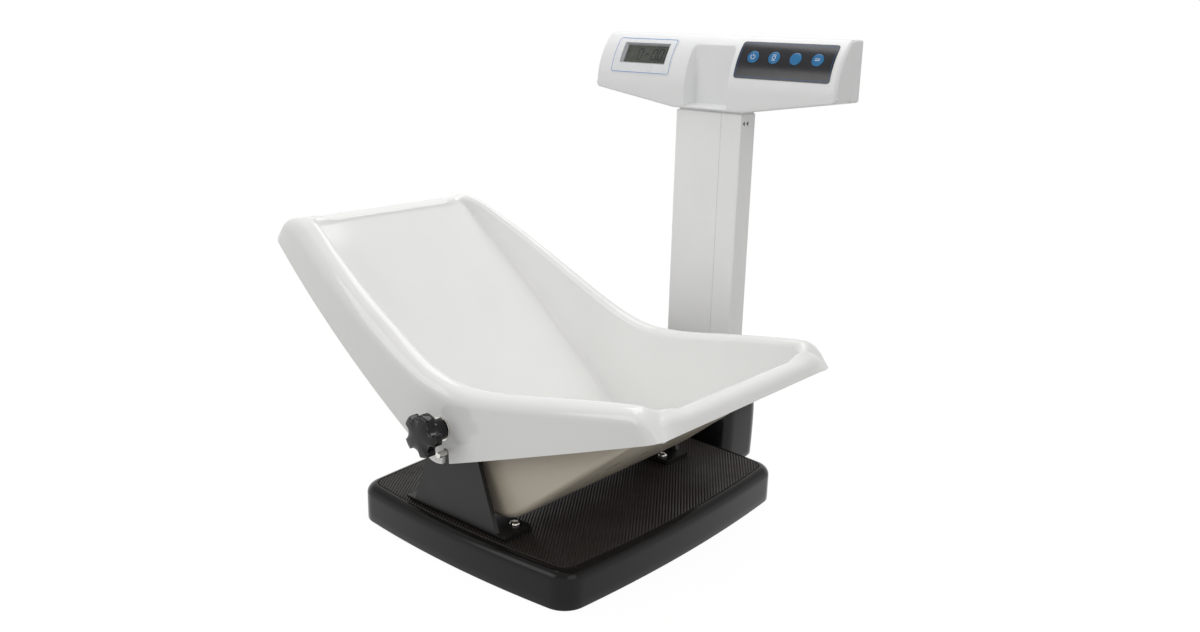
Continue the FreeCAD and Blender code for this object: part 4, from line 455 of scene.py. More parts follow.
def between(table, x):
    """Smooth reading of a table of (x, value) rows."""
    if x <= table[0][0]:
        return table[0][1]
    if x >= table[-1][0]:
        return table[-1][1]
    i = next(i for i in range(len(table) - 1) if x <= table[i + 1][0])
    (x1, y1), (x2, y2) = table[i], table[i + 1]
    x0, y0 = table[max(i - 1, 0)]
    x3, y3 = table[min(i + 2, len(table) - 1)]
    step = x2 - x1
    m1 = (y2 - y0) / (x2 - x0) * step
    m2 = (y3 - y1) / (x3 - x1) * step
    t = (x - x1) / step
    return ((2 * t ** 3 - 3 * t ** 2 + 1) * y1 + (t ** 3 - 2 * t ** 2 + t) * m1
            + (-2 * t ** 3 + 3 * t ** 2) * y2 + (t ** 3 - t ** 2) * m2)


# --- seat
# Along the seat x runs from its head end to its foot end, half widths count from SEAT_Y.
SEAT_Y, SEAT_WALL = -20.5, 3.6
SIDE_STEPS, CORNER_STEPS, END_STEPS = 110, 14, 48
# Stations of one side with its two corners, and of the whole loop. Station i on the near side lies
# opposite OPPOSITE - i on the far side.
NEAR = SIDE_STEPS + 2 * CORNER_STEPS + 1
AROUND = 2 * (NEAR + END_STEPS - 1)
OPPOSITE = 2 * NEAR + END_STEPS - 2
# Slope and height at x = 0 of the tub's back and front panels, the height of its floor, and how
# softly they meet. The same for the skirt's lower edge, and how far that is let down.
BACK, FRONT, FLOOR, PANEL_SOFT = (-0.858, 58.7), (0.84, 12.8), 52.5, 7.0
SKIRT_BACK, SKIRT_FRONT, SKIRT_SOFT, SKIRT_DROP = (-0.601, 87.8), (0.348, 106.3), 5.0, 1.0
# Half width and height of the rim's ridge.
RIDGE_WIDE = ((-304, 108.5), (-280, 115), (-250, 121.6), (-222, 127.8), (-193, 133.2), (-164, 137),
              (-134, 140), (-104, 141.9), (-75, 143.7), (-46, 145.1), (-15, 144.3), (14, 142.9),
              (42, 141.6), (69, 140.4), (121, 137.6), (170, 134.6), (194, 133.0), (209, 131.6),
              (230, 129.6))
RIDGE_HIGH = ((-306, 268), (-296, 282), (-288, 290), (-277, 294.6), (-264, 294), (-250, 290),
              (-222, 276.5), (-193, 262.4), (-164, 247.4), (-134, 232.4), (-104, 217.6),
              (-75, 203.4), (-46, 191), (-30, 186), (-15, 182.4), (0, 180.6), (14, 180.4),
              (42, 182.4), (69, 186.4), (121, 195.6), (170, 203.6), (194, 207), (209, 207.6),
              (221, 205.5), (230, 200))
# The ridge's inner and outer side: height against the table, how far it curls down at the foot's
# corners, and height over the head end and the foot end.
RIDGE_SIDES = ((1.7, 3.5, 288.8, 199.0), (-3.4, 7.5, 291.2, 197.0))
# How far ridge inside, ridge outside and skirt move towards the foot at the head end and foot end.
MOVES = ((5, 0), (13, 5.5), (8, 0))
# The bends at crease, ridge inside and ridge outside: radius along the sides, over the head end
# and over the foot end, steps, and the share that it may take of the stretch before and after.
BENDS = (((6.0, 6.0, 6.0), 8, 0.47, 0.45), ((12.0, 6.0, 12.0), 10, 0.5, 0.45),
         ((18.0, 7.0, 12.0), 12, 0.54, 0.6))
ARC_HANDLE = 0.56  # of a cubic curve that draws a quarter round
# Half width of the crease between panels and sides.
CREASE_WIDE = ((-280, 109.5), (-264, 111), (-241, 113.5), (-210, 116.5), (-179, 119), (-147, 121),
               (-40, 121.5), (0, 120.5), (60, 120.5), (120, 121), (180, 121), (210, 120.5))
# The skirt's edge in plan: widest place, half width there, and its bow towards head and foot.
WIDEST, SKIRT_WIDE, HEAD_BOW, FOOT_BOW = -46, 156, 1203, 2233
KNOB_X, KNOB_Z = 28.75, 138.2
# Where the skirt is cut for pins and studs, how far either way, and the stud hole's radius.
SKIRT_Y, SKIRT_REACH, STUD_HOLE = (-202.0, 102.5), (-12, 12), 4.6
PIN_X, PIN_Z, PIN_ROUND = 33.75, 116, 4


def on_line(line, x):
    slope, height = line
    return height + slope * x


def panel_height(x):
    """Height of the tub's inside: back panel, floor and front panel, with soft bends."""
    return soft_max((on_line(BACK, x), on_line(FRONT, x), FLOOR), PANEL_SOFT)


def skirt_wide(x):
    return SKIRT_WIDE - (x - WIDEST) ** 2 / (2 * (HEAD_BOW if x < WIDEST else FOOT_BOW))


def skirt_low(x):
    return soft_max((on_line(SKIRT_BACK, x), on_line(SKIRT_FRONT, x)), SKIRT_SOFT) - SKIRT_DROP


def plan_loop(wide, head, foot, corner, corner_foot):
    """A closed plan outline as stations: near side from head to foot, foot, far side, head."""
    def bend(start, stop, leaves, arrives, size):
        rows = [(a, a + ARC_HANDLE * size * b, d - ARC_HANDLE * size * c, d) for a, b, c, d in
                zip(start, leaves, arrives, stop)]
        return [tuple((1 - t) ** 3 * a + 3 * (1 - t) ** 2 * t * b + 3 * (1 - t) * t ** 2 * c
                      + t ** 3 * d for a, b, c, d in rows)
                for t in (i / CORNER_STEPS for i in range(1, CORNER_STEPS))]

    def slope(x):
        return (wide(x + 1) - wide(x - 1)) / 2

    def across(half, x):
        return [(x, half * (1 - 2 * j / END_STEPS)) for j in range(1, END_STEPS)]

    head_w, foot_w = wide(head) - corner, wide(foot) - corner_foot
    x1, x2 = head + corner, foot - corner_foot
    side = [(x, wide(x)) for x in
            (x1 + (x2 - x1) * i / SIDE_STEPS for i in range(SIDE_STEPS + 1))]
    near = [(head, head_w)]
    near += bend((head, head_w), side[0], (0, 1), (1, slope(x1)), corner)
    near += side
    near += bend(side[-1], (foot, foot_w), (1, slope(x2)), (0, -1), corner_foot)
    near += [(foot, foot_w)]
    far = [(x, -y) for x, y in reversed(near)]
    return near + across(foot_w, foot) + far + across(-head_w, head)


def seat_loops():
    """Plan loops from the inside out: panel's edge, crease, ridge inside, ridge outside, skirt."""
    def wide(table, aside):
        return lambda x: between(table, x) + aside

    # Half width, head end, foot end, and the corners' rounds at both.
    return [plan_loop(*row) for row in (
        (wide(CREASE_WIDE, -24), -246, 180, 6, 6), (wide(CREASE_WIDE, 0), -264, 199, 10, 10),
        (wide(RIDGE_WIDE, -10.6), -271, 208, 9, 13), (wide(RIDGE_WIDE, 10.4), -303, 219, 13, 19),
        (skirt_wide, -308.5, 230, 12, 13))]


def rounded(path, bends):
    """A polyline with a round at each inner corner: radius, steps and shares of its stretches."""
    made = [path[0]]
    for before, corner, after, bend in zip(path, path[1:], path[2:], bends):
        radius, steps, share_before, share_after = bend
        u, v = before - corner, after - corner
        room = min(share_before * u.length, share_after * v.length)
        u.normalize()
        v.normalize()
        half = u.angle(v, pi) / 2
        reach = min(radius / max(0.05, abs(sin(half) / max(1e-6, cos(half)))), room)
        start, stop = corner + u * reach, corner + v * reach
        for k in range(steps + 1):
            t = k / steps
            w0, w1, w2 = (1 - t) ** 2, 2 * t * (1 - t) * sin(half), t ** 2
            made.append((start * w0 + corner * w1 + stop * w2) / (w0 + w1 + w2))
    made.append(path[-1])
    return made


def end_shares(i):
    """A station's share in the head end, the foot end and the curl at the foot's corners."""
    k = max(min(i, OPPOSITE - i), i - AROUND)
    beyond = k - (NEAR - 1 - CORNER_STEPS)
    foot = ease((beyond - 12.5) / 7)
    return ease((1 - k) / 7), foot, ease((beyond - 2) / 11) * (1 - foot)


def seat_section(i, a, b, c, d, e):
    """The wall at one station: up from the panel over the crease and the ridge, down the skirt."""
    head, foot, curl = end_shares(i)

    def by_end(along, over_head, over_foot):
        return mix(mix(along, over_head, head), over_foot, foot)

    c, d, e = ((x + at_head * head + at_foot * foot, y) for (x, y), (at_head, at_foot) in
               zip((c, d, e), MOVES))
    ridge = between(RIDGE_HIGH, (c[0] + d[0]) / 2)
    heights = [panel_height(a[0]), panel_height(b[0])]
    heights += [by_end(ridge + rise - fall * curl, *ends) for rise, fall, *ends in RIDGE_SIDES]
    heights.append(skirt_low(e[0]))
    path = [Vector((*spot, z)) for spot, z in zip((a, b, c, d, e), heights)]
    return rounded(path, [(by_end(*radii), *rest) for radii, *rest in BENDS])


def add_panels(points, faces):
    """The tub's back, floor and front: rows between matching stations of the two sides."""
    rows = []
    for i in range(NEAR):
        left, right = i, OPPOSITE - i
        if i == 0:
            middle = range(AROUND - 1, AROUND - END_STEPS, -1)
        elif i == NEAR - 1:
            middle = range(NEAR, NEAR + END_STEPS - 1)
        else:
            middle = range(len(points), len(points) + END_STEPS - 1)
            spots = [points[left].lerp(points[right], j / END_STEPS) for j in range(1, END_STEPS)]
            points += [Vector((p.x, p.y, panel_height(p.x))) for p in spots]
        rows.append([left, *middle, right])
    for low, high in zip(rows, rows[1:]):
        faces += [(low[j], low[j + 1], high[j + 1], high[j]) for j in range(END_STEPS)]


def cut_skirt(seat):
    """Slots over the locating pins and holes for the studs, through the skirt only."""
    slot = [(27.6, 80), (39.9, 80), (38.2, 108.5), (PIN_X + PIN_ROUND, PIN_Z)]
    slot += arc([pi * i / 12 for i in range(1, 12)], PIN_ROUND, PIN_X, PIN_Z)
    slot += [(PIN_X - PIN_ROUND, PIN_Z), (29.3, 108.5)]
    hole = [(KNOB_X + x, KNOB_Z + z) for x, z in circle(STUD_HOLE, 32)]
    for y in SKIRT_Y:
        for path in (slot, hole):
            rings = [[here(x, y + way, z) for x, z in path] for way in SKIRT_REACH]
            carve(seat, tool_from(rings), "FAST")


def make_seat():
    sections = [seat_section(i, *spots) for i, spots in enumerate(zip(*seat_loops()))]
    points, faces = loft(list(zip(*sections)))
    add_panels(points, faces)
    placed = [at(p.x, SEAT_Y - p.y, p.z) for p in points]
    seat = piece("seat_moulding", placed, faces, "seat", stands_for="seat_shell")
    # The outer skin gets the underside look, whose darker cream colour is painted shade and painted
    # warm reflection.
    seat.data.materials.append(LOOK["underside"])
    face_towards(seat, lambda p: (p - at(20, SEAT_Y, 55)).length, Vector((0, 0, 1)))
    thicken(seat, SEAT_WALL, material_offset=1, material_offset_rim=0)
    cut_skirt(seat)
    sharpen(seat, 42)


make_seat()

# --- knobs
# Radius over the lobes, the hollows' centres from the axis and their radius.
LOBE, HOLLOW_OUT, HOLLOW = 20.8, 23.8, 8.6
LOBE_SOFT, KNOB_STEPS = 1.9, 180
# Beyond this distance out and below this share the outline turns round, on a share of LOBE.
FACE_OUT, FACE_SHARE, FACE_ROUND = 20, 0.87, 0.86
# Hub: distance out and radius. Star: distance out and share of the star's outline.
HUB = ((0.0, 9.4), (0.5, 10.2), (3.0, 10.3), (8.0, 10.0), (12.5, 9.4), (14.0, 9.2), (14.6, 9.6))
STAR = ((14.7, 0.86), (15.0, 0.945), (15.7, 0.985), (16.8, 1.0), (19.5, 1.0), (23.6, 1.0),
        (24.6, 0.990), (25.5, 0.968), (26.1, 0.93), (26.5, 0.88), (27.0, 0.78), (27.6, 0.6),
        (28.0, 0.4), (28.25, 0.15))


def star(angle):
    """Radius of the five-lobed outline at an angle from a lobe's middle."""
    turn = (angle + pi / 5) % (2 * pi / 5) - pi / 5
    turn = pi / 5 - abs(turn)
    inside = HOLLOW ** 2 - (HOLLOW_OUT * sin(turn)) ** 2
    hit = 60.0 if inside <= 0 else HOLLOW_OUT * cos(turn) - sqrt(inside)
    return -LOBE_SOFT * log(exp(-hit / LOBE_SOFT) + exp(-LOBE / LOBE_SOFT)) + 0.1


def lobed(angle, out, share):
    """Radius of the star's part, growing round towards the middle of its face."""
    away = star(angle) * share
    if out > FACE_OUT and share < FACE_SHARE:
        away = mix(away, LOBE * FACE_ROUND * share, 1 - share)
    return away


def make_knob(body, base, way):
    """A glossy star knob on a tapered hub, its face slightly domed."""
    angles = [2 * pi * i / KNOB_STEPS for i in range(KNOB_STEPS)]
    rings = [(out, [radius] * KNOB_STEPS) for out, radius in HUB]
    rings += [(out, [lobed(angle, out, share) for angle in angles]) for out, share in STAR]
    rings = [[here(KNOB_X - way * away * cos(angle), base + way * out, KNOB_Z + away * sin(angle))
              for angle, away in zip(angles, ring)] for out, ring in rings]
    sharpen(rings_piece(body + "_star", rings, "knob", body=body, stands_for=body), 55)


make_knob("near_knob", -206.779, -1)
make_knob("far_knob", 107.337, 1)


# --- pan-head screws
SCREW_X, SCREW_Y, SCREW_Z = (83.25, -25.75), (64.78, -164.22), 45.3
HEAD_RADIUS, HEAD_HIGH, SHANK, SHANK_LONG = 5.0, 3.3, 2.4, 17.8
# Shares of its height that the head loses to its dome and to its round edge.
DOME_FALL, EDGE_FALL = 0.34, 0.30
# The cross recess: reach and half width of its arms, each with its slope, and depth as a share.
(CROSS, CROSS_SLOPE), (ARM, ARM_SLOPE), CROSS_DEEP = (2.6, 0.9), (0.62, 0.22), 0.6


def pan_head(centre, turn):
    """A domed head with a cross recess, and its plain shank below. Points and faces."""
    up = Vector((0, 0, 1))
    side = up.orthogonal().normalized()
    ahead = up.cross(side)
    count, steps = 72, 20
    points, faces = [], []

    def put_point(x, y, z):
        points.append(centre + (side * x + ahead * y + up * z) * MM)
        return len(points) - 1

    def height(x, y):
        away = hypot(x, y) / HEAD_RADIUS
        dome = HEAD_HIGH * (1 - DOME_FALL * away ** 2 - EDGE_FALL * away ** 8)
        u, v = x * cos(turn) + y * sin(turn), -x * sin(turn) + y * cos(turn)
        deep = 0.0
        for a, b in ((u, v), (v, u)):
            deep = max(deep, clamp((ARM - abs(a)) / ARM_SLOPE)
                       * clamp((CROSS - abs(b)) / CROSS_SLOPE))
        return dome - deep * HEAD_HIGH * CROSS_DEEP

    middle = put_point(0, 0, height(0, 0))
    outs = [HEAD_RADIUS * (k / steps) ** 0.85 for k in range(1, steps + 1)]
    rows = [[put_point(x, y, height(x, y)) for x, y in circle(out, count)] for out in outs]
    for away, z in ((HEAD_RADIUS, 0.25), (HEAD_RADIUS * 0.97, 0.0), (SHANK, 0.0),
                    (SHANK, -SHANK_LONG + 0.5), (SHANK - 0.45, -SHANK_LONG)):
        rows.append([put_point(x, y, z) for x, y in circle(away, count)])
    for i in range(count):
        faces.append((middle, rows[0][i], rows[0][(i + 1) % count]))
    for low, top in zip(rows, rows[1:]):
        for i in range(count):
            j = (i + 1) % count
            faces.append((low[i], top[i], top[j], low[j]))
    faces.append(tuple(reversed(rows[-1])))
    return points, faces


def make_screws():
    points, faces = [], []
    for number, (x, y) in enumerate((x, y) for x in SCREW_X for y in SCREW_Y):
        add_shape(points, faces, *pan_head(here(x, y, SCREW_Z), 0.35 + number * 0.9))
    sharpen(piece("bracket_pan_screws", points, faces, "nickel",
                  stands_for="bracket_screws"), 38)


make_screws()


# --- boot
BOOT_X, BOOT_FRONT, BOOT_BACK, BOOT_CORNER, BOOT_WALL = 37.25, 149.3, 233.4, 26, 2.6
# Half width where it is widest, the height of that, and how much less it is so far below or above.
BOOT_HALF, BOOT_WIDEST, BOOT_BELOW, BOOT_ABOVE = 66.0, 59, (1.5, 53), (4.0, 36)
# The dome's foot, height and reach inwards, and the steps it is drawn in.
DOME_Z, DOME_HIGH, DOME_IN, DOME_STEPS = 66.5, 34.0, 30, 15
# The hole that the column passes through: x, y and z.
BOOT_HOLE = ((-9.8, 81.4), (185.8, 216.3), (60, 130))


def round_box(x_half, y_low, y_high, corner, centre_x, z, count=14):
    """A ring round a rectangle with round corners."""
    middle, y_half = (y_low + y_high) / 2, (y_high - y_low) / 2
    corner = min(corner, x_half * 0.98, y_half * 0.98)
    made = []
    for turn, (sx, sy) in enumerate(CORNERS):
        made += corner_arc(turn, centre_x + sx * (x_half - corner), middle + sy * (y_half - corner),
                           corner, count)
    return [here(x, y, z) for x, y in made]


def boot_half(z):
    """Half width of the boot, bowed in its height."""
    less, reach = BOOT_BELOW if z < BOOT_WIDEST else BOOT_ABOVE
    return BOOT_HALF - less * ((z - BOOT_WIDEST) / reach) ** 2


def make_boot():
    """The boot over the column's foot: bowed sides, a domed top, open underneath."""
    rings = []
    for z, inset in ((6, 0.8), (7, 0.0), *((z, 0.0) for z in range(12, 61, 6)), (64, 0.0)):
        rings.append(round_box(boot_half(z) - inset, BOOT_FRONT + inset, BOOT_BACK, BOOT_CORNER,
                               BOOT_X, z))
    for turn in quarter(DOME_STEPS)[1:-1]:
        inset = DOME_IN * (1 - cos(turn))
        rings.append(round_box(boot_half(66) - inset, BOOT_FRONT + inset, BOOT_BACK - inset * 0.8,
                               BOOT_CORNER + inset * 0.35, BOOT_X, DOME_Z + DOME_HIGH * sin(turn)))
    made = rings_piece("boot_moulding", rings, "boot", first=False, stands_for="column_boot")
    thicken(made, BOOT_WALL)
    (x1, x2), (y1, y2), heights = BOOT_HOLE
    carve(made, tool_from([round_box((x2 - x1) / 2, y1, y2, 2.0, (x1 + x2) / 2, z, count=4)
                           for z in heights]))
    sharpen(made, 40)


make_boot()


# --- platform cover and mat
# Half length, half depth, corner radius and bulge of the cover's outline.
DECK = (152.4, 177.8, 24.0, 9.0)
SIDE_COUNT, CORNER_COUNT = 40, 12
# Inset and height along the cover's skin from its lower lip up to the mat's bed, and of the
# hollow below, from the bed down.
SHOULDER = [(9.0 * (1 - cos(turn)), 30.6 + 9.4 * sin(turn)) for turn in quarter(12)]
DECK_OUTSIDE = [(3.0, 2.7), (1.2, 2.5), (0.3, 3.0), (0.0, 4.0), (0.0, 12.0), (0.0, 28.0), *SHOULDER,
                (9.5, 39.9), (9.9, 39.2), (10.0, 38.0), (14.0, 38.0)]
DECK_INSIDE = [(14.0, 35.5), (3.6, 35.5), (3.0, 30.0), (3.0, 2.7)]
MAT_EDGE = [(10.4, 38.1), (10.4, 39.6), (10.7, 40.1), (11.2, 40.3), (12.4, 40.35)]


def bowed(half_x, half_y, corner, bulge, z):
    """A ring about the platform's centre: four shallow arcs, joined by round corners."""
    def part(x, y, radius, start, sweep, count):
        return arc([start + sweep * i / count for i in range(count)], radius, x, y)

    side_x = ((half_y - bulge) ** 2 + bulge ** 2) / (2 * bulge)
    side_y = ((half_x - bulge) ** 2 + bulge ** 2) / (2 * bulge)
    cx, cy = half_x - side_x, half_y - side_y
    gap = hypot(cx, cy)
    reach_x, reach_y = side_x - corner, side_y - corner
    along = (reach_x ** 2 - reach_y ** 2 + gap ** 2) / (2 * gap)
    across = sqrt(reach_x ** 2 - along ** 2)
    unit_x, unit_y = -cx / gap, cy / gap
    # the corners' centres, from which the arc of either side is reached in one radius
    corner_x, corner_y = cx + unit_x * along - unit_y * across, unit_y * along + unit_x * across
    sweep_x, sweep_y = atan2(corner_y, corner_x - cx), atan2(corner_x, corner_y - cy)
    sides = ((cx, 0, side_x, sweep_x), (0, cy, side_y, sweep_y), (-cx, 0, side_x, sweep_x),
             (0, -cy, side_y, sweep_y))
    made = []
    for turn, (x, y, radius, sweep) in enumerate(sides):
        sx, sy = CORNERS[turn]
        made += part(x, y, radius, turn * pi / 2 - sweep, 2 * sweep, SIDE_COUNT)
        made += part(sx * corner_x, sy * corner_y, corner, turn * pi / 2 + sweep,
                     pi / 2 - sweep - sides[(turn + 1) % 4][3], CORNER_COUNT)
    return [at(x, y, z) for x, y in made]


def deck_rings(profile):
    half_x, half_y, corner, bulge = DECK
    return [bowed(half_x - inset, half_y - inset, max(2.0, corner - inset), bulge, z)
            for inset, z in profile]


def make_deck():
    """The moulded cover: round shoulder, a raised bead round the mat, a lip under the skirt."""
    points, faces = skin(deck_rings(DECK_OUTSIDE), first=False)
    more, inner = loft(deck_rings(DECK_INSIDE))
    inner.append(tuple(range(4 * (SIDE_COUNT + CORNER_COUNT))))
    add_shape(points, faces, more, inner)
    made = piece("deck_moulding", points, faces, "deck", stands_for="platform_cover")
    sharpen(turn_outwards(made, join=1e-6), 45)


make_deck()
# The ribbed mat fills the cover's top inside the bead, with a plain edge.
sharpen(rings_piece("mat_sheet", deck_rings(MAT_EDGE), "mat", stands_for="platform_mat"), 45)

# --- column
COLUMN_X, COLUMN_Y, COLUMN_Z = (-8.8, 80.4), (186.8, 215.3), (24.0, 407.5)
COLUMN_WALL, COLUMN_EDGE, COLUMN_NEAR_EDGE = 2.2, 1.2, 3.0
GROOVE_X = 54.0


def make_column():
    """The extruded column: round edges, a shallow groove down its front, a hollow inside."""
    (x1, x2), (y1, y2), (low, top) = COLUMN_X, COLUMN_Y, COLUMN_Z
    r, near = COLUMN_EDGE, COLUMN_NEAR_EDGE
    edges = ((x2 - r, y2 - r, r), (x1 + r, y2 - r, r), (x1 + near, y1 + near, near),
             (x2 - r, y1 + r, r))
    outer = []
    for turn, (x, y, radius) in enumerate(edges):
        outer += corner_arc(turn, x, y, radius, 6)
        if turn == 2:
            outer += [(GROOVE_X + aside, y1 + deep) for aside, deep in
                      ((-0.9, 0), (-0.45, 0.12), (-0.3, 0.9), (0.3, 0.9), (0.45, 0.12), (0.9, 0))]
    inner = [(max(x1 + COLUMN_WALL, min(x2 - COLUMN_WALL, x)),
              max(y1 + COLUMN_WALL, min(y2 - COLUMN_WALL, y))) for x, y in outer]
    rings = [[here(x, y, z) for x, y in loop] for loop, z in
             ((inner, low), (outer, low), (outer, low + 0.4), (outer, top - 0.4), (outer, top),
              (inner, top))]
    made = piece("column_extrusion", *loft(rings, wrap=True), "column", stands_for="column")
    weld(made)
    sharpen(made, 38)


make_column()


# --- head
# The head's front is an arc about (ARC_Y, ARC_Z), in the frame's mm.
ARC_Y, ARC_Z, ARC = 259.779, 430.5, 80.0
HEAD_TOP, HEAD_LOW, SEAM_Y, HEAD_X, HEAD_WALL = 491.0, 410.0, 213.279, 37.25, 2.4
# The underside is level over the middle and rises towards the ends.
LEVEL_HALF, TAPER, TAPER_RISE = 47, 113, 17.0
BROW_ROUND, FOOT_ROUND = 9.0, 2.2
STEP, CLOSE_STEP, CLOSE_BY = 3.0, 0.8, 5
HEAD_ENDS, END_ROUND = (162.0, 160.0), 5.0
RECESS_X, RECESS_HALF, RECESS_TOP, RECESS_CORNER, RECESS_SOFT = 35.25, 27.5, 482.0, 10.0, 3.6
RECESS_LOW, RECESS_FLOOR = 412.0, 226.0 + SHIFT[1] - ARC_Y
# The openings' half sizes and radius in the shell, and a little less in the films.
SHELL_WINDOW, SHELL_KEY, FILM_WINDOW, FILM_KEY = (33.2, 13.0), 7.4, (33.0, 12.9), 7.25


def on_arc(x, z, lift):
    """A point over the curved front at a height, lifted off it."""
    rise = max(-0.2, min(0.99, (z - ARC_Z) / ARC))
    if z < ARC_Z:
        return here(x, ARC_Y - ARC - lift, z)
    return here(x, ARC_Y - (ARC + lift) * sqrt(1 - rise * rise), ARC_Z + (ARC + lift) * rise)


def head_profile(aside, inset):
    """Front shell from the seam at the top, over the brow and down the arc, to the seam below."""
    low = HEAD_LOW + TAPER_RISE * max(0.0, (abs(aside) - LEVEL_HALF) / TAPER) + inset
    top, front, brow = HEAD_TOP - inset, ARC - inset, BROW_ROUND - 0.7 * inset
    seam = SEAM_Y - ARC_Y
    # the brow joins the level top and the arc with a round
    centre_z = top - brow
    centre_y = -sqrt((front - brow) ** 2 - (centre_z - ARC_Z) ** 2)
    lean = atan2(centre_z - ARC_Z, -centre_y)
    made = [(seam, top), ((centre_y + seam) / 2, top)]
    for i in range(9):
        turn = pi / 2 - (pi / 2 - lean) * i / 8
        made.append((centre_y - brow * cos(turn), centre_z + brow * sin(turn)))
    for i in range(1, 29):
        turn = lean * (1 - i / 28)
        made.append((-front * cos(turn), ARC_Z + front * sin(turn)))
    bottom = min(ARC_Z - 0.5, low + FOOT_ROUND)
    made += [(-front, mix(ARC_Z, bottom, i / 5)) for i in range(1, 6)]
    made += [(-front + FOOT_ROUND * (1 - cos(turn)), mix(bottom, low, sin(turn)))
             for turn in quarter(5)[1:]]
    made += [(mix(-front + FOOT_ROUND, seam, i / 4), low) for i in range(1, 5)]
    return made


def recess_mask(x, z):
    """1 inside the middle recess, easing to 0 over its soft edges."""
    dx = abs(x - RECESS_X) - (RECESS_HALF - RECESS_CORNER)
    dz = z - (RECESS_TOP - RECESS_CORNER)
    gap = (hypot(dx, dz) if dx > 0 and dz > 0 else max(dx, dz)) - RECESS_CORNER
    return ease(0.5 - gap / RECESS_SOFT)


def head_stations():
    """Places along the head with their inset: round ends, close steps where the form changes."""
    left, right = HEAD_ENDS
    turns = quarter(7)
    rounds = [(END_ROUND * sin(turn), END_ROUND * (1 - cos(turn))) for turn in turns]
    stations = [(-left + END_ROUND * (1 - cos(turn)), END_ROUND * (1 - sin(turn)))
                for turn in turns]
    ends = [RECESS_X - HEAD_X + side * RECESS_HALF for side in (-1, 1)]
    x = -left + END_ROUND + 4
    while x < right - END_ROUND - 2:
        stations.append((x, 0.0))
        near = min(abs(abs(x) - LEVEL_HALF), *(abs(x - end) for end in ends)) < CLOSE_BY
        x += CLOSE_STEP if near else STEP
    return stations + [(right - END_ROUND + out, inset) for out, inset in rounds]


def make_head_front():
    """The front shell as a skin over stations along its length, with the recess pressed in."""
    rings = []
    for aside, inset in head_stations():
        ring = []
        for y, z in head_profile(aside, inset):
            if y < RECESS_FLOOR:
                share = recess_mask(HEAD_X + aside, z) * ease((z - RECESS_LOW) / 4.0)
                y = mix(y, RECESS_FLOOR, share)
            ring.append(here(HEAD_X + aside, ARC_Y + y, z))
        rings.append(ring)
    points, faces = loft(rings, close=False)
    count = len(rings[0])
    faces.append(tuple(range(count)))
    faces.append(tuple(reversed(range(len(points) - count, len(points)))))
    made = piece("head_front_moulding", points, faces, "shell", stands_for="head_front")
    face_towards(made, lambda p: p.y, Vector((0, -1, 0)))
    thicken(made, HEAD_WALL)
    carve(made, window_tool(*SHELL_WINDOW))
    for place in KEYS:
        carve(made, key_tool(place, SHELL_KEY))
    weld(made, 3e-6)
    sharpen(made, 35)


# Keys and display lie in planes that lean with the arc at their own heights.
def leaning(x, rise):
    """Places in such a plane: across, up its slope and out from the arc's centre line."""
    lean = atan2(rise, sqrt(ARC ** 2 - rise ** 2))
    out, up = Vector((0, -cos(lean), sin(lean))), Vector((0, sin(lean), cos(lean)))
    centre = here(x, ARC_Y, ARC_Z)
    return lambda across, upward, deep: centre + (Vector((across, 0, 0)) + up * upward
                                                  + out * deep) * MM


GLASS, KEYS = leaning(-58.75, 37.3), [leaning(89.35 + 26.1 * number, 39.0) for number in range(4)]


def bar(place, x, z, half_x, half_z, deep, slant=0.0):
    """Four corners of a bar at one depth, slanting with height."""
    return [place(x + sx * half_x + slant * (z + sz * half_z), z + sz * half_z, deep)
            for sx, sz in SQUARE]


def window_tool(half_x, half_up):
    return tool_from([bar(GLASS, 0, 0, half_x, half_up, deep) for deep in (66, 92)])


def key_tool(place, radius):
    return tool_from([[place(x, z, deep) for x, z in circle(radius, 40)] for deep in (70, 90)])


make_head_front()


# --- films on the head
FILM_UNDER, FILM_OVER, LINE_THICK = 0.06, 0.5, 0.04
FILM_ROWS, FILM_ACROSS = 36, 8


def outline(name, path, width, look, slot):
    """A thin printed line along a closed path of (x, z) places on the curved front."""
    rings = []
    for i, (x, z) in enumerate(path):
        before, after = path[i - 1], path[(i + 1) % len(path)]
        tx, tz = after[0] - before[0], after[1] - before[1]
        size = hypot(tx, tz)
        nx, nz = -tz / size * width / 2, tx / size * width / 2
        rings.append([on_arc(x + nx * side, z + nz * side, FILM_OVER + height) for side, height in
                      ((1, 0), (1, LINE_THICK), (-1, LINE_THICK), (-1, 0))])
    piece(name, *loft(rings, wrap=True), look, slot=slot, smooth=False)


def rounded_frame(x1, x2, z1, z2, corner, step=3.0):
    """A closed path round a rectangle with round corners, with extra places along its sides."""
    def fill(last, first):
        parts = max(1, int(hypot(first[0] - last[0], first[1] - last[1]) / step))
        return [(mix(last[0], first[0], k / parts), mix(last[1], first[1], k / parts))
                for k in range(1, parts)]

    made = []
    for turn, (x, z) in enumerate(((x2 - corner, z2 - corner), (x1 + corner, z2 - corner),
                                   (x1 + corner, z1 + corner), (x2 - corner, z1 + corner))):
        bend = corner_arc(turn, x, z, corner, 6)
        if made:
            made += fill(made[-1], bend[0])
        made += bend
    return made + fill(made[-1], made[0])


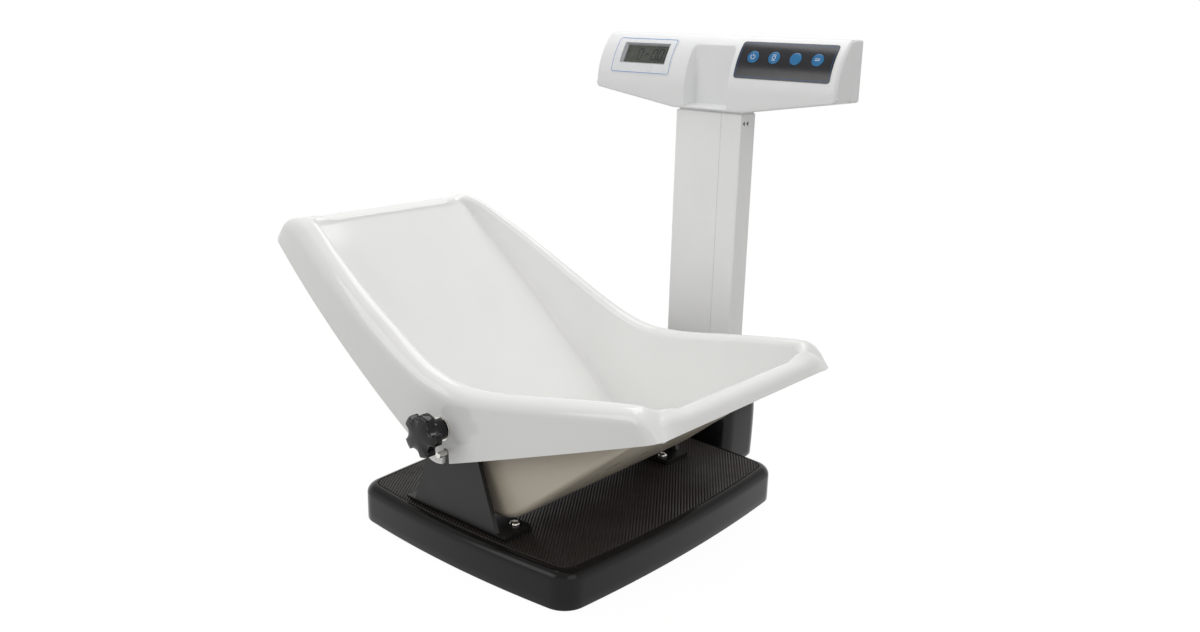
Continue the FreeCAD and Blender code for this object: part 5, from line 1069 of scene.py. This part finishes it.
def film(name, node, x1, x2, z1, z2, corner, look, tools):
    """A printed film bent over the arc: round corners in outline, cut out where tools pass."""
    rows = []
    for i in range(FILM_ROWS + 1):
        z = mix(z1, z2, ease(i / FILM_ROWS) * 0.35 + 0.65 * i / FILM_ROWS)
        edge = min(z - z1, z2 - z)
        inset = corner - sqrt(max(0.0, corner ** 2 - max(0.0, corner - edge) ** 2))
        rows.append((z, x1 + inset, x2 - inset))
    wide = FILM_ACROSS + 1
    size = wide * len(rows)
    points = [on_arc(mix(left, right, k / FILM_ACROSS), z, lift) for lift in (FILM_UNDER, FILM_OVER)
              for z, left, right in rows for k in range(wide)]
    faces = []
    for i in range(FILM_ROWS):
        for k in range(FILM_ACROSS):
            a = i * wide + k
            faces.append((a, a + 1, a + wide + 1, a + wide))
            faces.append((size + a + wide, size + a + wide + 1, size + a + 1, size + a))
    border = [*range(wide), *(i * wide + FILM_ACROSS for i in range(1, FILM_ROWS + 1)),
              *(FILM_ROWS * wide + k for k in range(FILM_ACROSS - 1, -1, -1)),
              *(i * wide for i in range(FILM_ROWS - 1, 0, -1))]
    for a, b in zip(border, border[1:] + border[:1]):
        faces.append((a, size + a, size + b, b))
    made = turn_outwards(piece(name, points, faces, look, stands_for=node), join=1e-7)
    for tool in tools:
        carve(made, tool)
    shade_smooth(made)
    sharpen(made, 30)


film("display_film", "display_label", -103.2, -16.6, 444.6, 484.6, 2.0, "label",
     [window_tool(*FILM_WINDOW)])
film("keypad_overlay", "keypad_film", 70.25, 187.25, 447.0, 485.0, 3.0, "keypad",
     [key_tool(place, FILM_KEY) for place in KEYS])
outline("display_outline", rounded_frame(-101.9, -18.0, 445.8, 483.2, 2.8), 0.6, "blue", "label")
outline("keypad_outline", rounded_frame(72.0, 185.5, 448.9, 483.2, 2.6), 0.45, "dim blue", "keypad")

# --- keys
# Distance from the arc's centre line and radius, from the flange out to the cap's middle.
KEY_PROFILE = ((74.4, 0.5), (74.4, 4.0), (74.4, 7.8), (74.7, 8.2), (75.3, 8.25), (75.6, 7.9),
               (75.7, 7.0), (80.3, 6.98), (80.75, 6.85), (81.0, 6.5), (81.12, 6.0), (81.2, 4.6),
               (81.25, 2.8), (81.27, 0.9))
MARK_TOP, RING_LOW, BAR_LOW = 81.33, 81.2, 81.15
RING_STEPS, RING_WIDE = 36, 0.55
# Marks of each key. Rings: middle, radius and how many steps stay open on either side of the top.
# Bars: middle, half width and half height.
KEY_RINGS = {1: (-0.2, 2.3, 4), 2: (0, 1.7, 0)}
KEY_BARS = {1: [(2.1, 0.28, 1.5)], 2: [(3.2, 2.4, 0.25), (-3.2, 2.4, 0.25)],
            4: [(0.9, 3.0, 0.3), (-0.9, 3.0, 0.3)]}


def add_ring(points, faces, place, middle, inside, gap):
    """A printed ring, open at its top where a gap is given."""
    spots = range(gap, RING_STEPS + 1 - gap)
    for i in spots:
        angle = pi / 2 + 2 * pi * i / RING_STEPS
        for radius in (inside, inside + RING_WIDE):
            x, z = radius * cos(angle), middle + radius * sin(angle)
            points += [place(x, z, deep) for deep in (RING_LOW, MARK_TOP)]
    for k in range(len(spots) - 1):
        a, b = 4 * k, 4 * (k + 1)
        faces += [(a + 1, a + 3, b + 3, b + 1), (a, b, b + 2, a + 2), (a, a + 1, b + 1, b),
                  (a + 2, b + 2, b + 3, a + 3)]
    if gap:
        b = 4 * (len(spots) - 1)
        faces += [(0, 2, 3, 1), (b, b + 1, b + 3, b + 2)]


def make_key(number, place):
    """A round key cap with a soft rim, its flange behind the shell and its printed mark."""
    node = f"key_{number}"
    rings = [[place(x, z, deep) for x, z in circle(radius, 48)] for deep, radius in KEY_PROFILE]
    sharpen(rings_piece(node + "_cap", rings, "key", body=node, stands_for=node), 40)
    points, faces = [], []
    if number in KEY_RINGS:
        add_ring(points, faces, place, *KEY_RINGS[number])
    for z, half_x, half_z in KEY_BARS.get(number, ()):
        add_prism(points, faces, *(bar(place, 0, z, half_x, half_z, deep)
                                   for deep in (BAR_LOW, MARK_TOP)))
    if points:
        weld(piece(node + "_mark", points, faces, "white ink", body=node, slot="key", smooth=False))


for number, place in enumerate(KEYS, start=1):
    make_key(number, place)

# --- display
PANE_CORNER = 0.8
FIGURES_LOW, FIGURES_HIGH, FIGURE_SLANT = 76.5, 76.62, 0.12
NOUGHTS_X, DASH, DOT = (-8.5, 12.0, 21.0), (1.5, 0, 2.4, 0.8), (16.5, -6.4, 0.7, 0.7)
# Bars of a nought about its middle: place, half width and half height.
NOUGHT = [(0.0, z, 2.2, 0.8) for z in (6.4, -6.4)]
NOUGHT += [(side * 2.9, z, 0.8, 2.55) for side in (-1, 1) for z in (3.25, -3.25)]


def glass_block(name, look, half_x, half_up, low, high, edge, **rest):
    """A flat block in the display's plane with rounded corners and a small bevel in front."""
    rings = []
    bevel = ((low, 0.0), (high - edge, 0.0), (high - edge * 0.3, edge * 0.3), (high, edge))
    for deep, inset in bevel:
        ring = []
        for turn, (sx, sz) in enumerate(CORNERS):
            ring += corner_arc(turn, sx * (half_x - PANE_CORNER), sz * (half_up - PANE_CORNER),
                               PANE_CORNER - inset, 4)
        rings.append([GLASS(x, z, deep) for x, z in ring])
    sharpen(rings_piece(name, rings, look, slot=look, **rest), 30)


def display_digits():
    """Generic seven-segment figures lying on the display's face, behind the pane."""
    points, faces = [], []
    bars = [(x + aside, z, half_x, half_z) for x in NOUGHTS_X
            for aside, z, half_x, half_z in NOUGHT]
    for place in (*bars, DASH, DOT):
        add_prism(points, faces, *(bar(GLASS, *place, deep, FIGURE_SLANT)
                                   for deep in (FIGURES_LOW, FIGURES_HIGH)))
    piece("display_figures", points, faces, "segment", slot="lcd", smooth=False)


glass_block("display_pane", "window", 29.9, 10.9, 76.8, 77.7, 0.25, stands_for="display_window")
glass_block("display_face", "lcd", 29.4, 10.5, 72.3, 76.5, 0.15)
display_digits()


# --- marks on the column's side
ARROWS_X, ARROWS_Y, ARROWS_Z = (80.35, 80.5), (192.5, 199.5), 397.5
ARROW = ((-2.2, 0.0), (1.8, 2.6), (1.8, -2.6))


def side_mark():
    """Two small dark arrows on the column's right face, near its top."""
    points, faces = [], []
    for y in ARROWS_Y:
        add_prism(points, faces, *([here(x, y + dy, ARROWS_Z + dz) for dy, dz in ARROW]
                                   for x in ARROWS_X))
    piece("column_side_arrows", points, faces, "black ink", slot="column", smooth=False)


side_mark()

# --- nodes with eased edges
SLOTS = {row["node"]: row["material_slot"] for row in frame["record"]["subparts"]}
BODY_OF = {node: body for body, nodes in frame["record"]["behaviour"]["bodies"].items()
           for node in nodes}
EASED = {"near_bracket": 0.7, "far_bracket": 0.7, "near_locating_pin": 0.7, "far_locating_pin": 0.7,
         "head_rear": 1.2, "battery_door": 0.4, "power_inlet": 0.3, "display_bezel": 0.2,
         "near_washer": 0.25, "far_washer": 0.25}
for node, width in EASED.items():
    eased(node, width)
LOOK_OF = {**SLOTS, "platform_cover": "deck", "column_cap": "shell"}
for node, solid in frame["nodes"].items():
    look = LOOK_OF[node]
    for socket in solid.material_slots:
        socket.material = LOOK[look]
    if solid.type == "MESH" and not solid.material_slots:
        solid.data.materials.append(LOOK[look])


# --- stage, light and camera
FLOOR_HALF, FLOOR_GLOW, FLOOR_SEEN = 30, 1.12, 0.86
# The sky's strength low and high, where it changes from one to the other, and its colour.
SKY, SKY_BAND, SKY_COLOUR = (0.24, 0.64), (0.0, 0.75), (1.0, 0.995, 0.985, 1)
WHITE_BAND = (0.25, 0.6)  # where the white behind gives way to the sky in reflections


def maths(tree, operation, first, second):
    return add(tree, "ShaderNodeMath", ((0, first), (1, second)), operation=operation).outputs[0]


def bare_tree(owner):
    """An emptied node tree, and the kinds of rays that it can tell apart."""
    owner.use_nodes = True
    tree = owner.node_tree
    tree.nodes.clear()
    return tree, add(tree, "ShaderNodeLightPath").outputs


def finish_tree(tree, kind, share, first, second):
    """Show the first look, and the second to a share of the rays."""
    mixed = add(tree, "ShaderNodeMixShader",
                ((0, share), (1, first.outputs[0]), (2, second.outputs[0])))
    tree.links.new(mixed.outputs[0], add(tree, kind).inputs["Surface"])


def stage_material():
    """Pale floor: the camera sees it nearly white with a faint contact shade."""
    made = bpy.data.materials.new("studio floor")
    tree, rays = bare_tree(made)
    tone = blend(tree, noise(tree, object_place(tree), 2.0), (0.43, 0.43, 0.42), (0.46, 0.46, 0.45))
    plain = add(tree, "ShaderNodeBsdfDiffuse", (("Color", tone),))
    glow = add(tree, "ShaderNodeEmission", (("Strength", FLOOR_GLOW),))
    seen = maths(tree, "MAXIMUM", rays["Is Camera Ray"], rays["Is Glossy Ray"])
    seen = maths(tree, "MAXIMUM", seen, rays["Is Transmission Ray"])
    seen = maths(tree, "MULTIPLY", seen, FLOOR_SEEN)
    finish_tree(tree, "ShaderNodeOutputMaterial", seen, plain, glow)
    return made


def light_world():
    """A soft sky that lights the object, and white behind it for the camera and low reflections."""
    world = bpy.data.worlds.new("studio")
    bpy.context.scene.world = world
    tree, rays = bare_tree(world)
    way = add(tree, "ShaderNodeTexCoord").outputs["Generated"]
    height = add(tree, "ShaderNodeSeparateXYZ", (("Vector", way),)).outputs["Z"]
    strength = span(tree, height, *SKY, *SKY_BAND)
    soft = add(tree, "ShaderNodeBackground", (("Color", SKY_COLOUR), ("Strength", strength)))
    white = add(tree, "ShaderNodeBackground", (("Color", (1, 1, 1, 1)),))
    low_sky = span(tree, height, 1.0, 0.0, *WHITE_BAND)
    seen = maths(tree, "MAXIMUM", rays["Is Glossy Ray"], rays["Is Transmission Ray"])
    seen = maths(tree, "MULTIPLY", seen, low_sky)
    seen = maths(tree, "MAXIMUM", seen, rays["Is Camera Ray"])
    finish_tree(tree, "ShaderNodeOutputWorld", seen, soft, white)


def lamp(name, place, aim, size, power, turn=0.0):
    light = bpy.data.lights.new(name, "AREA")
    light.shape = "RECTANGLE"
    light.size, light.size_y = size
    light.energy = power
    facing = (Vector(aim) - Vector(place)).to_track_quat("-Z", "Y").to_matrix().to_4x4()
    spin = Matrix.Rotation(radians(turn), 4, "Z")
    put(name, light).matrix_world = Matrix.Translation(place) @ facing @ spin


def set_camera(place, azimuth, elevation, roll, lens):
    """The camera that was fitted to the photograph. Angles in degrees."""
    azimuth, elevation, roll = map(radians, (azimuth, elevation, roll))
    forward = Vector((-sin(azimuth) * cos(elevation), cos(azimuth) * cos(elevation),
                      -sin(elevation)))
    level = Vector((cos(azimuth), sin(azimuth), 0))
    rise = level.cross(forward)
    right = cos(roll) * level + sin(roll) * rise
    up = -sin(roll) * level + cos(roll) * rise
    data = bpy.data.cameras.new("camera")
    data.sensor_width = 36.0
    data.lens = lens
    camera = put("camera", data)
    camera.matrix_world = (Matrix.Translation(place)
                           @ Matrix((right, up, -forward)).transposed().to_4x4())
    bpy.context.scene.camera = camera


floor = mesh_piece("studio_floor", [(sx * FLOOR_HALF, sy * FLOOR_HALF, 0) for sx, sy in SQUARE],
                   [(0, 1, 2, 3)])
floor.data.materials.append(stage_material())
light_world()
lamp("key", (-0.7, -2.1, 1.3), (0, 0, 0.25), (1.6, 1.2), 12)
lamp("top", (-0.55, 0.55, 2.1), (-0.55, 0.551, 0.0), (1.62, 1.62), 21, turn=47.8)
lamp("side", (1.9, -0.6, 1.1), (0, 0, 0.3), (1.2, 1.4), 6)
set_camera((0.74525, -0.82992, 0.5115), azimuth=40.227, elevation=15.562, roll=1.432, lens=32.67)
bpy.context.scene.view_settings.view_transform = "Standard"
